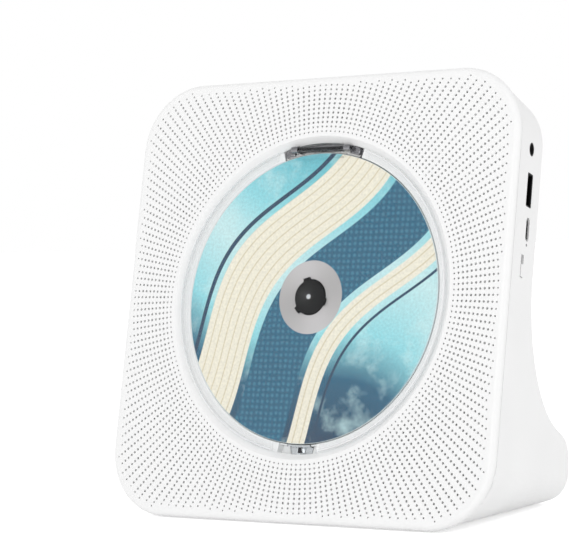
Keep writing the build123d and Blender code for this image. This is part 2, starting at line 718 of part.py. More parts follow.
def clear_cover():
    """Clear shallow dome with the hinge barrel and the stub that meets the catch."""
    dome = revolve(Plane.XZ * dome_profile(), Axis.Z)
    notch, notch_low = ear_end + hinge_gap, hinge_height - barrel_radius - 3 * hinge_gap
    dome -= block(-notch, notch, notch_low, half, -cover_rise, bay_floor)
    dome += block(-barrel_half_length, barrel_half_length, notch_low - cover_thickness, hinge_height,
                  cover_sink - hinge_gap, cover_back - hinge_gap)
    dome += bar_x(barrel_radius, -barrel_half_length, barrel_half_length, hinge_height, hinge_sink)
    dome += block(-catch_half_width, catch_half_width, catch_gap - cover_radius, -strike_inner,
                  cover_back - 2 * hinge_gap, strike_sink - catch_gap)
    return dome - bar_x(pin_radius + running_gap, -ear_end, ear_end, hinge_height, hinge_sink)


def strike_plate():
    """Chromed strike plate below the cover, tapered towards the bay's wall."""
    wide, narrow = strike_width / 2, strike_width / 2 - strike_flare
    outline = make_face(Polyline((-wide, -strike_inner), (wide, -strike_inner),
                                 (narrow, -strike_outer), (-narrow, -strike_outer), close=True))
    return extrude(Pos(0, 0, -strike_sink) * outline, amount=-strike_thickness)


def catch_magnet():
    """Magnet between the strike plate and the bay's floor."""
    side = strike_width / 2 - magnet_side_inset
    return block(-side, side, magnet_inset - strike_outer, -strike_inner - magnet_inset,
                 strike_sink + strike_thickness, bay_floor)


# ---------------------------------------------------------------- disc and spindle
def disc():
    """Compact disc with its stacking ring."""
    plate = ring(disc_radius, disc_hole, disc_sink, disc_back)
    return plate + ring(stacking_ring, stacking_ring - stacking_ring_width, disc_back,
                        disc_back + stacking_ring_rise)


def turntable():
    """Table that carries the disc, with its boss on the spindle."""
    return turned([
        (spindle_radius, disc_back), (table_radius, disc_back), (table_radius, table_back - table_edge),
        (table_radius - table_edge, table_back), (table_boss, table_back), (table_boss, bay_floor),
        (spindle_radius, bay_floor),
    ])


def claw(angle, gap):
    """Claw of the hub, or its slot when a gap is given."""
    front = hub_front + claw_slot + claw_lift - gap
    back = disc_sink - claw_lift if gap == 0 else disc_sink
    side = claw_width / 2 + gap
    return Rot(0, 0, angle) * block(hub_radius - claw_length - gap, disc_hole + claw_overlap + gap,
                                    -side, side, front, back)


def hub():
    """Snap-on hub with three slots for its claws."""
    body = rod(hub_radius, hub_front, disc_back)
    body = chamfer(body.edges().group_by(Axis.Z)[-1], hub_rise / 2)
    for angle in claw_angles:
        body -= claw(angle, claw_slot)
    return body - rod(spindle_radius, hub_front, disc_back)


def hub_claws():
    """Three claws that hold the disc down."""
    return joined([claw(angle, 0) for angle in claw_angles])


def spindle_shaft():
    """Motor shaft, with its end in the middle of the hub."""
    return rod(spindle_radius, hub_front - spindle_proud,
               deck_back + spindle_motor_height - spindle_motor_floor)


def spindle_motor():
    """Flat motor that hangs below the deck, its boss through the deck."""
    can = rod(spindle_motor_radius, deck_back, deck_back + spindle_motor_height)
    can = fillet(can.edges().group_by(Axis.Z)[0], spindle_motor_round)
    can += rod(spindle_motor_boss, deck_front, deck_back)
    return can - rod(spindle_radius + running_gap, deck_front,
                     deck_back + spindle_motor_height - spindle_motor_floor)


# ---------------------------------------------------------------- mechanism
def deck():
    """Deck that hangs from the bay on four dampers and carries motors, rods and gears."""
    middle = ((deck_left + deck_right) / 2, (deck_low + deck_high) / 2)
    plate = slab(deck_right - deck_left, deck_high - deck_low, deck_corner, deck_front, deck_back, middle)
    for place in damper_places:
        plate += rod(damper_radius + damper_lug_wall, deck_front, deck_back, place)
    for place in damper_places:
        plate -= rod(damper_groove, deck_front, deck_back, place)
    plate -= tower_slot(deck_front, deck_back)
    plate -= rod(spindle_motor_boss, deck_front, deck_back)
    plate -= rod(gear_pin_radius, deck_front, deck_back, (gear_column, gear_row))
    holder_half = rod_radius + holder_wall
    for row in rod_rows:
        for left in (rod_left, rod_right - rod_holder):
            plate += block(left, left + rod_holder, row - holder_half, row + holder_half,
                           deck_back, rod_sink + holder_half)
        plate -= bar_x(rod_radius, rod_left, rod_right, row, rod_sink)
    return plate


def damper(place):
    """Rubber bush with a groove for the deck."""
    bush = ring(damper_radius, damper_core, bay_back, damper_back, place)
    return bush - ring(damper_radius + damper_lug_wall, damper_groove, deck_front, deck_back, place)


def guide_rods():
    """The two steel rods that the sled runs on."""
    return joined([bar_x(rod_radius, rod_left, rod_right, row, rod_sink) for row in rod_rows])


def pickup_sled():
    """Sled with the lens tower, its rod bearings and a relieved underside."""
    left, right = -lens_inner - sled_outer, -lens_inner + sled_inner
    body = block(left, right, sled_low, sled_high, sled_front, sled_back)
    body = fillet(body.edges().filter_by(Axis.Z), sled_round)
    for row in rod_rows:
        body -= bar_x(rod_radius + running_gap, left, right, row, rod_sink)
    body -= block(left + relief_side, right - relief_side, rod_rows[0] + relief_end,
                  rod_rows[1] - relief_end, rod_sink + relief_web, sled_back)
    body += rod(tower_radius, lens_top + 2 * focus_travel, sled_front, (-lens_inner, 0))
    return body - rod(holder_radius + holder_gap, lens_top, holder_back + 2 * focus_travel,
                      (-lens_inner, 0))


def lens_holder():
    """Sprung holder of the objective lens, free to focus inside the tower."""
    body = rod(holder_radius, lens_top, holder_back, (-lens_inner, 0))
    body -= rod(lens_radius, lens_top, lens_top + lens_height, (-lens_inner, 0))
    return body - rod(lens_radius - holder_rim, lens_top, holder_back, (-lens_inner, 0))


def lens():
    """Glass objective with a domed front."""
    glass = rod(lens_radius, lens_top, lens_top + lens_height, (-lens_inner, 0))
    return fillet(glass.edges().group_by(Axis.Z)[-1], lens_round)


def sled_rack():
    """Rack along the sled's upper side, with a gap between two teeth at the gear."""
    pitch = pi * gear_module
    start = gear_column - pitch
    root, tip = rack_row - dedendum * gear_module, rack_row + addendum * gear_module
    points = [(start, sled_high), (start, root)]
    teeth = int(sled_travel / pitch) + 3
    for tooth in range(teeth):
        for height, share in tooth_corners(root, tip):
            points.append((start + (tooth + 0.5 + share) * pitch, height))
    end = start + teeth * pitch
    points += [(end, root), (end, sled_high)]
    outline = make_face(Polyline(*points, close=True))
    return extrude(Pos(0, 0, rack_height / 2 - rod_sink) * outline, amount=-rack_height)


def sled_gear():
    """Two-step gear: small teeth on the rack, large teeth on the motor."""
    place = (gear_column, gear_row)
    small = extrude(Pos(*place, -small_front) * gear_outline(small_teeth, -90),
                    amount=small_front - small_back)
    large = extrude(Pos(*place, -large_front) * gear_outline(large_teeth, motor_angle),
                    amount=-large_width)
    gear = small + large + rod(gear_neck, small_back, large_front, place)
    return gear - rod(gear_pin_radius + running_gap, small_front, large_back, place)


def gear_pin():
    """Pin of the two-step gear, riveted in the deck, with a head that keeps the gear on."""
    place, seat = (gear_column, gear_row), large_back + gear_end_gap
    return rod(gear_pin_radius, deck_front, seat, place) + rod(
        gear_pin_head, seat, seat + gear_pin_head_height, place)


def sled_motor():
    """Small motor below the deck that drives the sled."""
    place, back = (motor_x, motor_y), large_front - motor_gap
    can = rod(sled_motor_radius, deck_back, back, place)
    can = fillet(can.edges().group_by(Axis.Z)[0], sled_motor_round)
    return can - rod(motor_shaft + running_gap, deck_back + motor_gap, back, place)


def motor_pinion():
    """Pinion and shaft of the sled motor."""
    turn = motor_angle + 180 + 180 / motor_teeth
    outline = gear_outline(motor_teeth, turn)
    pinion = extrude(Pos(motor_x, motor_y, -large_front) * outline, amount=-large_width)
    return pinion + rod(motor_shaft, deck_back + 2 * motor_gap, large_back, (motor_x, motor_y))


# ---------------------------------------------------------------- sound
def speaker_frame(place):
    """Pressed basket with a mounting flange and four windows."""
    inner, sheet_back = speaker_radius - basket_sheet, speaker_foot - basket_sheet
    basket = turned([
        (speaker_flange, speaker_front), (speaker_flange, speaker_front + flange_thickness),
        (speaker_radius, speaker_front + flange_thickness), (basket_foot + basket_sheet, speaker_foot),
        (cone_throat, speaker_foot), (cone_throat, sheet_back), (basket_foot, sheet_back),
        (inner, speaker_front + basket_sheet), (inner, speaker_front),
    ], place)
    middle = (speaker_front + flange_thickness + speaker_foot) / 2
    window = Pos(place[0], place[1], -middle) * Rot(0, 0, 45) * Box(
        2 * speaker_flange, basket_window, basket_window_height)
    return basket - window - window.rotate(Axis((place[0], place[1], 0), (0, 0, 1)), 90)


def speaker_cone(place):
    """Paper cone with its rolled surround and dust cap."""
    front = speaker_front + cone_gap
    edge = speaker_radius - basket_sheet - cone_gap / 2
    roll, throat = edge - cone_roll, speaker_foot - dust_cap_depth - basket_sheet
    shoulder, middle = throat - dust_cap_shoulder, throat - dust_cap_depth
    return turned([
        (edge, front), (edge - cone_roll / 2, front), (roll, front + paper),
        (cone_throat, throat), (cone_throat / 2, shoulder), (0, middle),
        (0, middle + paper), (cone_throat / 2, shoulder + paper), (cone_throat, throat + paper),
        (roll, front + 2 * paper), (edge, front + paper),
    ], place)


def speaker_magnet(place):
    """Ring magnet with its back plate."""
    body = rod(speaker_magnet_radius, speaker_foot, speaker_foot + speaker_magnet_height, place)
    return chamfer(body.edges().group_by(Axis.Z)[0], magnet_edge)


# ---------------------------------------------------------------- electronics
def main_board():
    """Main circuit board with its screw holes."""
    board = block(board_left, board_right, board_low, board_high, board_sink, board_back)
    for place in board_posts():
        board -= rod(small_screw_hole, board_sink, board_back, place)
    return board


def chip(offset, size, rise):
    """Square part on the front of the board, placed from the board's lower left corner."""
    x, y = board_left + offset[0], board_low + offset[1]
    return block(x - size / 2, x + size / 2, y - size / 2, y + size / 2, board_sink - rise, board_sink)


def board_chips():
    """Larger parts on the front of the main board."""
    pieces = [
        chip(processor_offset, processor_size, processor_rise),
        chip(amplifier_offset, amplifier_size, amplifier_rise),
        chip(coil_offset, coil_size, coil_rise),
    ]
    for number in range(2):
        place = (board_left + capacitor_offset[0] + number * capacitor_pitch, board_low + capacitor_offset[1])
        pieces.append(rod(capacitor_radius, board_sink - capacitor_rise, board_sink, place))
    return joined(pieces)


def aux_jack():
    """Jack socket on the board, its collar in the case's round opening."""
    mouth = wall_x(jack_sink) - socket_inset
    shoulder, size = inside_x(jack_sink) - wall / 2, jack_size / 2
    body = block(mouth - jack_length, shoulder, jack_height - size, jack_height + size,
                 jack_sink - size, board_sink)
    body += bar_x(jack_collar / 2, shoulder, mouth, jack_height, jack_sink)
    return body - bar_x(jack_bore / 2, mouth - jack_length + jack_floor, mouth, jack_height, jack_sink)


def socket_shell(width, thickness, length, corner, height, sink):
    """Sheet-metal shell of a flat socket, open at the mouth."""
    mouth = wall_x(sink) - socket_inset
    shell = side_port(width, thickness, corner, height, sink, mouth - length, mouth)
    return shell - side_port(width - 2 * socket_sheet, thickness - 2 * socket_sheet,
                             corner - socket_sheet, height, sink,
                             mouth - length + socket_sheet, mouth)


def socket_tongue(width, thickness, length, height, sink, front):
    """Contact tongue inside a flat socket, standing on the shell's rear wall."""
    mouth = wall_x(sink) - socket_inset
    return block(mouth - length + socket_sheet, mouth - tongue_inset, height - width / 2,
                 height + width / 2, front, front + thickness)


def charge_light():
    """Light guide of the charge lamp, from the board's lamp to the case."""
    side = light_base / 2
    lamp = block(board_right - light_base_length, board_right, light_height - side,
                 light_height + side, light_sink - side, board_sink)
    return lamp + bar_x(light_size / 2, board_right, wall_x(light_sink) - light_inset,
                        light_height, light_sink)


def switch_body():
    """Body of the slide switch on the board."""
    side = switch_body_length / 2
    return block(switch_face - switch_body_depth, switch_face, switch_height - side,
                 switch_height + side, switch_sink - switch_body_front, board_sink)


def switch_knob():
    """Sliding knob with the hidden plate that keeps it in the case."""
    middle, base = switch_height - switch_travel / 2, switch_face + switch_lift
    knob = side_port(switch_knob_length, switch_knob_width, switch_gap, middle, switch_sink,
                     base, wall_x(switch_sink) + switch_knob_proud)
    return knob + side_port(switch_knob_length + 2 * switch_plate_overlap, switch_plate_width,
                            switch_gap, middle, switch_sink, base, base + switch_plate_thickness)


def button(x):
    """Push button with its flange below the top wall and a stem to the switch."""
    cap = below_top(x, Cylinder(button_radius, flange_top + button_proud), -button_proud, flange_top)
    outward = button_plane(x).z_dir
    rims = cap.edges().sort_by(lambda edge: edge.center().dot(outward))
    cap = fillet(rims[-1], button_round)
    flange = Cylinder(button_radius + button_gap + button_flange_overlap, button_flange)
    stem = Cylinder(button_stem_radius, button_stem)
    return (cap + below_top(x, flange, flange_top, stem_top)
            + below_top(x, stem, stem_top, stem_top + button_stem))


def tact_switches():
    """Tact switches below the buttons; their plungers give way when a button is pressed."""
    body = Box(tact_size, tact_size, tact_height)
    return joined([below_top(x, body, tact_top, button_board_top) for x in button_columns()])


def button_board():
    """Narrow board that carries the tact switches."""
    plate = Box(2 * button_board_half, button_board_width, button_board_thickness)
    board = below_top(0, plate, button_board_top, button_board_bottom)
    for x in button_posts:
        hole = Cylinder(small_screw_hole, button_board_thickness)
        board -= below_top(x, hole, button_board_top, button_board_bottom)
    return board


def display_module():
    """Lamp display behind the grille at the top."""
    x, y = display_width / 2, display_height / 2
    body = block(-x, x, display_row - y, display_row + y, speaker_front, speaker_front + display_depth)
    return chamfer(body.edges().group_by(Axis.Z)[0], display_edge)


def battery_cells():
    """Two round cells that lie across the foot."""
    return joined([TABLE.location * Pos(0, y, z) * Rot(0, 90, 0) * Cylinder(cell_radius, cell_length)
                   for y, z in cell_rows()])


def all_parts():
    """Every node of the player, by name, in the face frame."""
    parts = {
        "front_shell": front_shell(),
        "rear_housing": rear_housing(),
        "case_screws": case_screws(),
        "disc_bay": disc_bay(),
        "bay_screws": bay_screws(),
        "hinge_bracket": hinge_bracket(),
        "cover_pin": cover_pin(),
        "clear_cover": clear_cover(),
        "strike_plate": strike_plate(),
        "catch_magnet": catch_magnet(),
        "disc": disc(),
        "turntable": turntable(),
        "hub": hub(),
        "hub_claws": hub_claws(),
        "spindle_shaft": spindle_shaft(),
        "spindle_motor": spindle_motor(),
        "mechanism_deck": deck(),
        "damper_screws": damper_screws(),
        "guide_rods": guide_rods(),
        "pickup_sled": pickup_sled(),
        "lens_holder": lens_holder(),
        "lens": lens(),
        "sled_rack": sled_rack(),
        "sled_gear": sled_gear(),
        "gear_pin": gear_pin(),
        "sled_motor": sled_motor(),
        "motor_pinion": motor_pinion(),
        "main_board": main_board(),
        "board_chips": board_chips(),
        "board_screws": board_screws(),
        "aux_jack": aux_jack(),
        "usb_a_shell": socket_shell(usb_a_width, usb_a_thickness, usb_a_length, usb_a_round,
                                    usb_a_height, usb_a_sink),
        "usb_a_tongue": socket_tongue(usb_a_tongue_width, usb_a_tongue_thickness, usb_a_length,
                                      usb_a_height, usb_a_sink, usb_a_sink),
        "usb_c_shell": socket_shell(usb_c_width, usb_c_thickness, usb_c_length,
                                    usb_c_thickness / 2 - touching, usb_c_height, usb_c_sink),
        "usb_c_tongue": socket_tongue(usb_c_tongue_width, usb_c_tongue_thickness, usb_c_length,
                                      usb_c_height, usb_c_sink, usb_c_sink - usb_c_tongue_thickness / 2),
        "charge_light": charge_light(),
        "switch_body": switch_body(),
        "switch_knob": switch_knob(),
        "tact_switches": tact_switches(),
        "button_board": button_board(),
        "display_module": display_module(),
        "battery_cells": battery_cells(),
        "dampers": joined([damper(place) for place in damper_places]),
    }
    for number, (x, y) in enumerate(foot_places(), 1):
        parts[f"foot_pad_{number}"] = foot_pad(x, y)
    for number, x in enumerate(button_columns(), 1):
        parts[f"button_{number}"] = button(x)
    for name, side in (("left", -1), ("right", 1)):
        place = (side * speaker_place, -speaker_place)
        parts[f"speaker_frame_{name}"] = speaker_frame(place)
        parts[f"speaker_cone_{name}"] = speaker_cone(place)
        parts[f"speaker_magnet_{name}"] = speaker_magnet(place)
    return parts


if __name__ == "__main__":
    os.makedirs("parts", exist_ok=True)
    for name, shape in all_parts().items():
        export_step(FACE.location * shape, f"parts/{name}.step")
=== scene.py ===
"""Desktop disc player with a perforated square front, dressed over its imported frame.

Each sub-assembly below is a class that builds its own meshes, dresses the frame's nodes and
puts every piece on the body it moves with. Lengths in the classes are millimetres in the
face frame: x to the right, y up the leaning face, z out of the face, origin at the centre of
the disc bay in the plane of the face. The studio alone is laid out in metres on the table.
"""

import logging
import math
from dataclasses import dataclass
from enum import Enum
from typing import Mapping, Sequence

import bmesh
import bpy
from mathutils import Matrix, Vector


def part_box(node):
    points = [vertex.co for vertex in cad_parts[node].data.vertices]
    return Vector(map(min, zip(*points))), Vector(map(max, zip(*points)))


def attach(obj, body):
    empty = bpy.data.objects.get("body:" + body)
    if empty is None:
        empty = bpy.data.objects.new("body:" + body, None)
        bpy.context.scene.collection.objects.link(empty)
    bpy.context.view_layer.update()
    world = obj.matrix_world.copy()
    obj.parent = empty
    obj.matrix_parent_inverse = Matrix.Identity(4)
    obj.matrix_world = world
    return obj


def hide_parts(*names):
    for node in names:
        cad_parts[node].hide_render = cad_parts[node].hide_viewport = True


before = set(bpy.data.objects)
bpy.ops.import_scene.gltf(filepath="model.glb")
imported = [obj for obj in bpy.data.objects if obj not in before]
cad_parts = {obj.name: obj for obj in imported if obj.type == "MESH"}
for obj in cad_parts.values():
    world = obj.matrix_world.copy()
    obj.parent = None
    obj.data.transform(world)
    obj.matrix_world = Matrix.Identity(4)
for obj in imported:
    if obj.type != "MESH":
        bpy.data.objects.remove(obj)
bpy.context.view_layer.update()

LOG = logging.getLogger("player")
MILLIMETRE = 0.001


# ---------------------------------------------------------------- small tools
def linear(code: str) -> tuple[float, float, float, float]:
    """Turn an sRGB hex colour into a linear one.

    Args:
        code: Colour as "#rrggbb".

    Returns:
        Linear red, green and blue, and an alpha of one.
    """
    channels = [int(code[start:start + 2], 16) / 255 for start in (1, 3, 5)]
    curve = [c / 12.92 if c <= 0.04045 else ((c + 0.055) / 1.055) ** 2.4 for c in channels]
    return (curve[0], curve[1], curve[2], 1.0)


def add_node(tree: bpy.types.NodeTree, kind: str, *inputs: object,
             named: Mapping[str | int, object] | None = None, **settings: object) -> bpy.types.Node:
    """Add a node with its settings and its inputs, which are values, sockets or nodes.

    Args:
        tree: Node tree that gets the node.
        kind: Type name of the node.
        inputs: Inputs in the order of the node's sockets; None leaves one as it is.
        named: Inputs by the name or the number of their socket.
        settings: Properties of the node.

    Returns:
        The new node.
    """
    node = tree.nodes.new(kind)
    for name, value in settings.items():
        setattr(node, name, value)
    pairs = list(zip(node.inputs, inputs))
    pairs += [(node.inputs[key], value) for key, value in (named or {}).items()]
    for socket, value in pairs:
        if value is None:
            continue
        source = value.outputs[0] if isinstance(value, bpy.types.Node) else value
        if isinstance(source, bpy.types.NodeSocket):
            tree.links.new(source, socket)
        else:
            socket.default_value = source
    return node


@dataclass(frozen=True)
class FaceFrame:
    """Where the leaning face stands above the table: degrees back, and its centre in millimetres."""

    lean: float = 12.5
    depth: float = -30.0501
    height: float = 90.8938

    def origin(self) -> Vector:
        """Centre of the face in metres."""
        return Vector((0.0, self.depth, self.height)) * MILLIMETRE

    def turn(self) -> float:
        """Angle about the table's X axis that stands the face up."""
        return math.radians(90.0 - self.lean)

    def matrix(self) -> Matrix:
        """Matrix from face millimetres to table metres."""
        scale = Matrix.Scale(MILLIMETRE, 4)
        return Matrix.Translation(self.origin()) @ Matrix.Rotation(self.turn(), 4, "X") @ scale

    def coordinates(self, tree: bpy.types.NodeTree) -> bpy.types.Node:
        """Add the coordinates of a point in face millimetres.

        Args:
            tree: Material tree that gets the nodes.

        Returns:
            Node whose first output is the place in the face frame.
        """
        place = add_node(tree, "ShaderNodeTexCoord")
        return add_node(tree, "ShaderNodeMapping", place.outputs["Object"], self.origin(),
                        (self.turn(), 0.0, 0.0), (MILLIMETRE, MILLIMETRE, MILLIMETRE),
                        vector_type="TEXTURE")

    def radius(self, tree: bpy.types.NodeTree, place: bpy.types.Node) -> tuple[bpy.types.Node, object]:
        """Add the distance of a point from the disc's axis.

        Args:
            tree: Material tree that gets the nodes.
            place: Node with the place in the face frame.

        Returns:
            Node with the place laid flat on the face, and the socket with its distance in millimetres.
        """
        flat = add_node(tree, "ShaderNodeVectorMath", place, (1.0, 1.0, 0.0), operation="MULTIPLY")
        return flat, add_node(tree, "ShaderNodeVectorMath", flat, operation="LENGTH").outputs["Value"]


FACE = FaceFrame()


# ---------------------------------------------------------------- finishes
@dataclass(frozen=True)
class Finish:
    """A finish with its material; the subclasses say what the surface is."""

    name: str
    colour: str
    roughness: float

    def material(self) -> bpy.types.Material:
        """Give the finish's material, which is made the first time that it is asked for.

        Returns:
            The material.
        """
        found = bpy.data.materials.get(self.name)
        if found is not None:
            return found
        made = bpy.data.materials.new(self.name)
        made.use_nodes = True
        made.node_tree.nodes.clear()
        shader = self.shader(made.node_tree)
        add_node(made.node_tree, "ShaderNodeOutputMaterial", shader)
        return made

    def shader(self, tree: bpy.types.NodeTree) -> bpy.types.Node:
        """Add the finish's shader.

        Args:
            tree: Material tree that gets the nodes.

        Returns:
            The shader node.
        """
        raise NotImplementedError


def grain(tree: bpy.types.NodeTree, size: float, detail: float = 2.0) -> bpy.types.Node:
    """Add a fine random pattern with a real size.

    Args:
        tree: Material tree that gets the nodes.
        size: Width of a grain in millimetres.
        detail: Octaves of the pattern.

    Returns:
        Noise node; its first output runs from 0 to 1.
    """
    place = add_node(tree, "ShaderNodeTexCoord")
    return add_node(tree, "ShaderNodeTexNoise", place.outputs["Object"],
                    named={"Scale": 1.0 / (size * MILLIMETRE), "Detail": detail})


@dataclass(frozen=True)
class MouldedPlastic(Finish):
    """Injection-moulded ABS from a spark-eroded mould: satin, with a very fine even grain."""

    grain_size: float = 0.5
    grain_depth: float = 0.012
    grain_strength: float = 0.35
    cloud_size: float = 22.0
    sheen_spread: float = 0.06
    ior: float = 1.53

    def shader(self, tree: bpy.types.NodeTree) -> bpy.types.Node:
        """Add satin plastic with the mould's grain and slightly uneven gloss.

        Args:
            tree: Material tree that gets the nodes.

        Returns:
            The shader node.
        """
        fine = grain(tree, self.grain_size, 3.0)
        cloudy = grain(tree, self.cloud_size, 1.0)
        gloss = add_node(tree, "ShaderNodeMapRange", cloudy, 0.3, 0.7,
                         self.roughness - self.sheen_spread, self.roughness + self.sheen_spread)
        bump = add_node(tree, "ShaderNodeBump",
                        named={"Strength": self.grain_strength, "Distance": self.grain_depth * MILLIMETRE,
                               "Height": fine.outputs[0]})
        return add_node(tree, "ShaderNodeBsdfPrincipled",
                        named={"Base Color": linear(self.colour), "Roughness": gloss,
                               "IOR": self.ior, "Normal": bump})


@dataclass(frozen=True)
class ClearPlastic(Finish):
    """Polished thin-walled polycarbonate: the view through it isn't bent, and it shines at the rim."""

    ior: float = 1.4
    ripple: float = 0.004
    ripple_size: float = 30.0
    smear_size: float = 9.0
    smear_gloss: float = 1.8
    mirror_tint: tuple[float, float, float, float] = (0.9, 0.92, 0.93, 1.0)

    def shader(self, tree: bpy.types.NodeTree) -> bpy.types.Node:
        """Add clear plastic that lets light through to what lies behind it.

        Args:
            tree: Material tree that gets the nodes.

        Returns:
            The shader node.
        """
        wave = grain(tree, self.ripple_size, 1.0)
        bump = add_node(tree, "ShaderNodeBump",
                        named={"Strength": 0.2, "Distance": self.ripple * MILLIMETRE, "Height": wave})
        wiped = add_node(tree, "ShaderNodeMapRange", grain(tree, self.smear_size, 2.0), 0.35, 0.75,
                         self.roughness, self.roughness * self.smear_gloss)
        gloss = add_node(tree, "ShaderNodeBsdfPrincipled",
                         named={"Base Color": self.mirror_tint, "Metallic": 1.0,
                                "Roughness": wiped, "Normal": bump})
        clear = add_node(tree, "ShaderNodeBsdfTransparent", linear(self.colour))
        # Schlick's rise of the mirror image from its share straight on to all of it at a glance
        facing = add_node(tree, "ShaderNodeLayerWeight", 0.5, bump).outputs["Facing"]
        rise = add_node(tree, "ShaderNodeMath", facing, 5.0, operation="POWER")
        straight = ((self.ior - 1.0) / (self.ior + 1.0)) ** 2
        mirror = add_node(tree, "ShaderNodeMapRange", rise, 0.0, 1.0, straight, 1.0)
        return add_node(tree, "ShaderNodeMixShader", mirror, clear, gloss)


@dataclass(frozen=True)
class CoverPlastic(ClearPlastic):
    """Polished clear polycarbonate with an etched rim: nearly unseen, with a soft white border."""

    rim_radius: float = 60.7
    rim_veil: float = 0.12
    edge_radius: float = 63.4
    edge_veil: float = 0.6
    blur: float = 0.15
    rim_colour: str = "#f3f4f5"
    rim_roughness: float = 0.35
    catch_half: float = 11.0
    hinge_half: float = 21.0

    def shader(self, tree: bpy.types.NodeTree) -> bpy.types.Node:
        """Add clear plastic that turns hazy beyond its rim, except before the hinge and the catch.

        Args:
            tree: Material tree that gets the nodes.

        Returns:
            The shader node.
        """
        clear = super().shader(tree)
        place = FACE.coordinates(tree)
        radius = FACE.radius(tree, place)[1]
        steps = [add_node(tree, "ShaderNodeMapRange", radius, start - self.blur, start + self.blur, 0.0, veil)
                 for start, veil in ((self.rim_radius, self.rim_veil), (self.edge_radius, self.edge_veil))]
        etched = add_node(tree, "ShaderNodeMath", *steps, operation="ADD")
        split = add_node(tree, "ShaderNodeSeparateXYZ", place)
        aside = add_node(tree, "ShaderNodeMath", split.outputs["X"], operation="ABSOLUTE")
        above = add_node(tree, "ShaderNodeMath", split.outputs["Y"], 0.0, operation="GREATER_THAN")
        room = add_node(tree, "ShaderNodeMapRange", above, 0.0, 1.0, self.catch_half, self.hinge_half)
        beside = add_node(tree, "ShaderNodeMath", aside, room, operation="GREATER_THAN")
        veil = add_node(tree, "ShaderNodeMath", etched, beside, operation="MULTIPLY")
        haze = add_node(tree, "ShaderNodeBsdfPrincipled",
                        named={"Base Color": linear(self.rim_colour), "Roughness": self.rim_roughness,
                               "IOR": 1.5})
        return add_node(tree, "ShaderNodeMixShader", veil, clear, haze)


@dataclass(frozen=True)
class SmokedPlastic(Finish):
    """Smoke-tinted gloss polycarbonate over bright metal: dark grey with sharp reflections."""

    streak_size: float = 3.0
    streak_gloss: float = 2.5
    metal_share: float = 0.75
    coat_roughness: float = 0.03

    def shader(self, tree: bpy.types.NodeTree) -> bpy.types.Node:
        """Add a dark body under a clear gloss.

        Args:
            tree: Material tree that gets the nodes.

        Returns:
            The shader node.
        """
        streaks = grain(tree, self.streak_size, 2.0)
        gloss = add_node(tree, "ShaderNodeMapRange", streaks, 0.3, 0.7,
                         self.roughness, self.roughness * self.streak_gloss)
        return add_node(tree, "ShaderNodeBsdfPrincipled",
                        named={"Base Color": linear(self.colour), "Metallic": self.metal_share,
                               "Roughness": gloss, "Coat Weight": 1.0, "Coat Roughness": self.coat_roughness})


@dataclass(frozen=True)
class Metal(Finish):
    """Metal or metal plating: mirror-like when polished or plated, streaked when drawn or turned."""

    streak: tuple[float, float, float] = (0.4, 0.4, 0.4)
    streak_depth: float = 0.002
    spread: float = 0.08
    smoothest: float = 0.02

    def shader(self, tree: bpy.types.NodeTree) -> bpy.types.Node:
        """Add metal with fine working marks that vary its gloss.

        Args:
            tree: Material tree that gets the nodes.

        Returns:
            The shader node.
        """
        place = add_node(tree, "ShaderNodeTexCoord")
        stretch = tuple(1.0 / (size * MILLIMETRE) for size in self.streak)
        laid = add_node(tree, "ShaderNodeMapping", place.outputs["Object"], None, None, stretch)
        marks = add_node(tree, "ShaderNodeTexNoise", laid, named={"Scale": 1.0, "Detail": 3.0})
        gloss = add_node(tree, "ShaderNodeMapRange", marks, 0.3, 0.7,
                         max(self.smoothest, self.roughness - self.spread), self.roughness + self.spread)
        bump = add_node(tree, "ShaderNodeBump",
                        named={"Strength": 0.3, "Distance": self.streak_depth * MILLIMETRE,
                               "Height": marks.outputs[0]})
        return add_node(tree, "ShaderNodeBsdfPrincipled",
                        named={"Base Color": linear(self.colour), "Metallic": 1.0,
                               "Roughness": gloss, "Normal": bump})


@dataclass(frozen=True)
class MottledSolid(Finish):
    """Matt material whose tone wanders, such as rubber, felted paper or ferrite."""

    second: str = "#000000"
    blotch: float = 2.0
    relief: float = 0.05
    specular: float = 0.5

    def shader(self, tree: bpy.types.NodeTree) -> bpy.types.Node:
        """Add a matt solid with two tones and a slight relief.

        Args:
            tree: Material tree that gets the nodes.

        Returns:
            The shader node.
        """
        cloud = grain(tree, self.blotch, 4.0)
        tone = add_node(tree, "ShaderNodeMix", data_type="RGBA",
                        named={0: cloud.outputs[0], 6: linear(self.colour), 7: linear(self.second)})
        bump = add_node(tree, "ShaderNodeBump",
                        named={"Strength": 0.5, "Distance": self.relief * MILLIMETRE,
                               "Height": cloud.outputs[0]})
        return add_node(tree, "ShaderNodeBsdfPrincipled",
                        named={"Base Color": tone.outputs["Result"], "Roughness": self.roughness,
                               "Specular IOR Level": self.specular, "Normal": bump})


@dataclass(frozen=True)
class CircuitBoard(Finish):
    """Solder mask over copper tracks on glass fibre: dark green gloss with paler tracks."""

    track: str = "#2f7f4f"
    track_pitch: float = 3.2
    track_width: float = 0.18
    track_height: float = 0.04
    coat: float = 0.4

    def shader(self, tree: bpy.types.NodeTree) -> bpy.types.Node:
        """Add solder mask with tracks that turn through square cells.

        Args:
            tree: Material tree that gets the nodes.

        Returns:
            The shader node.
        """
        place = FACE.coordinates(tree)
        cells = add_node(tree, "ShaderNodeTexBrick", place, linear(self.colour), linear(self.track),
                         linear(self.track), named={"Scale": 1.0, "Mortar Size": self.track_width,
                                                    "Brick Width": self.track_pitch * 2.5,
                                                    "Row Height": self.track_pitch, "Bias": -1.0})
        bump = add_node(tree, "ShaderNodeBump",
                        named={"Strength": 0.4, "Distance": self.track_height * MILLIMETRE,
                               "Height": cells.outputs["Fac"]})
        return add_node(tree, "ShaderNodeBsdfPrincipled",
                        named={"Base Color": cells.outputs["Color"], "Roughness": self.roughness,
                               "Coat Weight": self.coat, "Normal": bump})


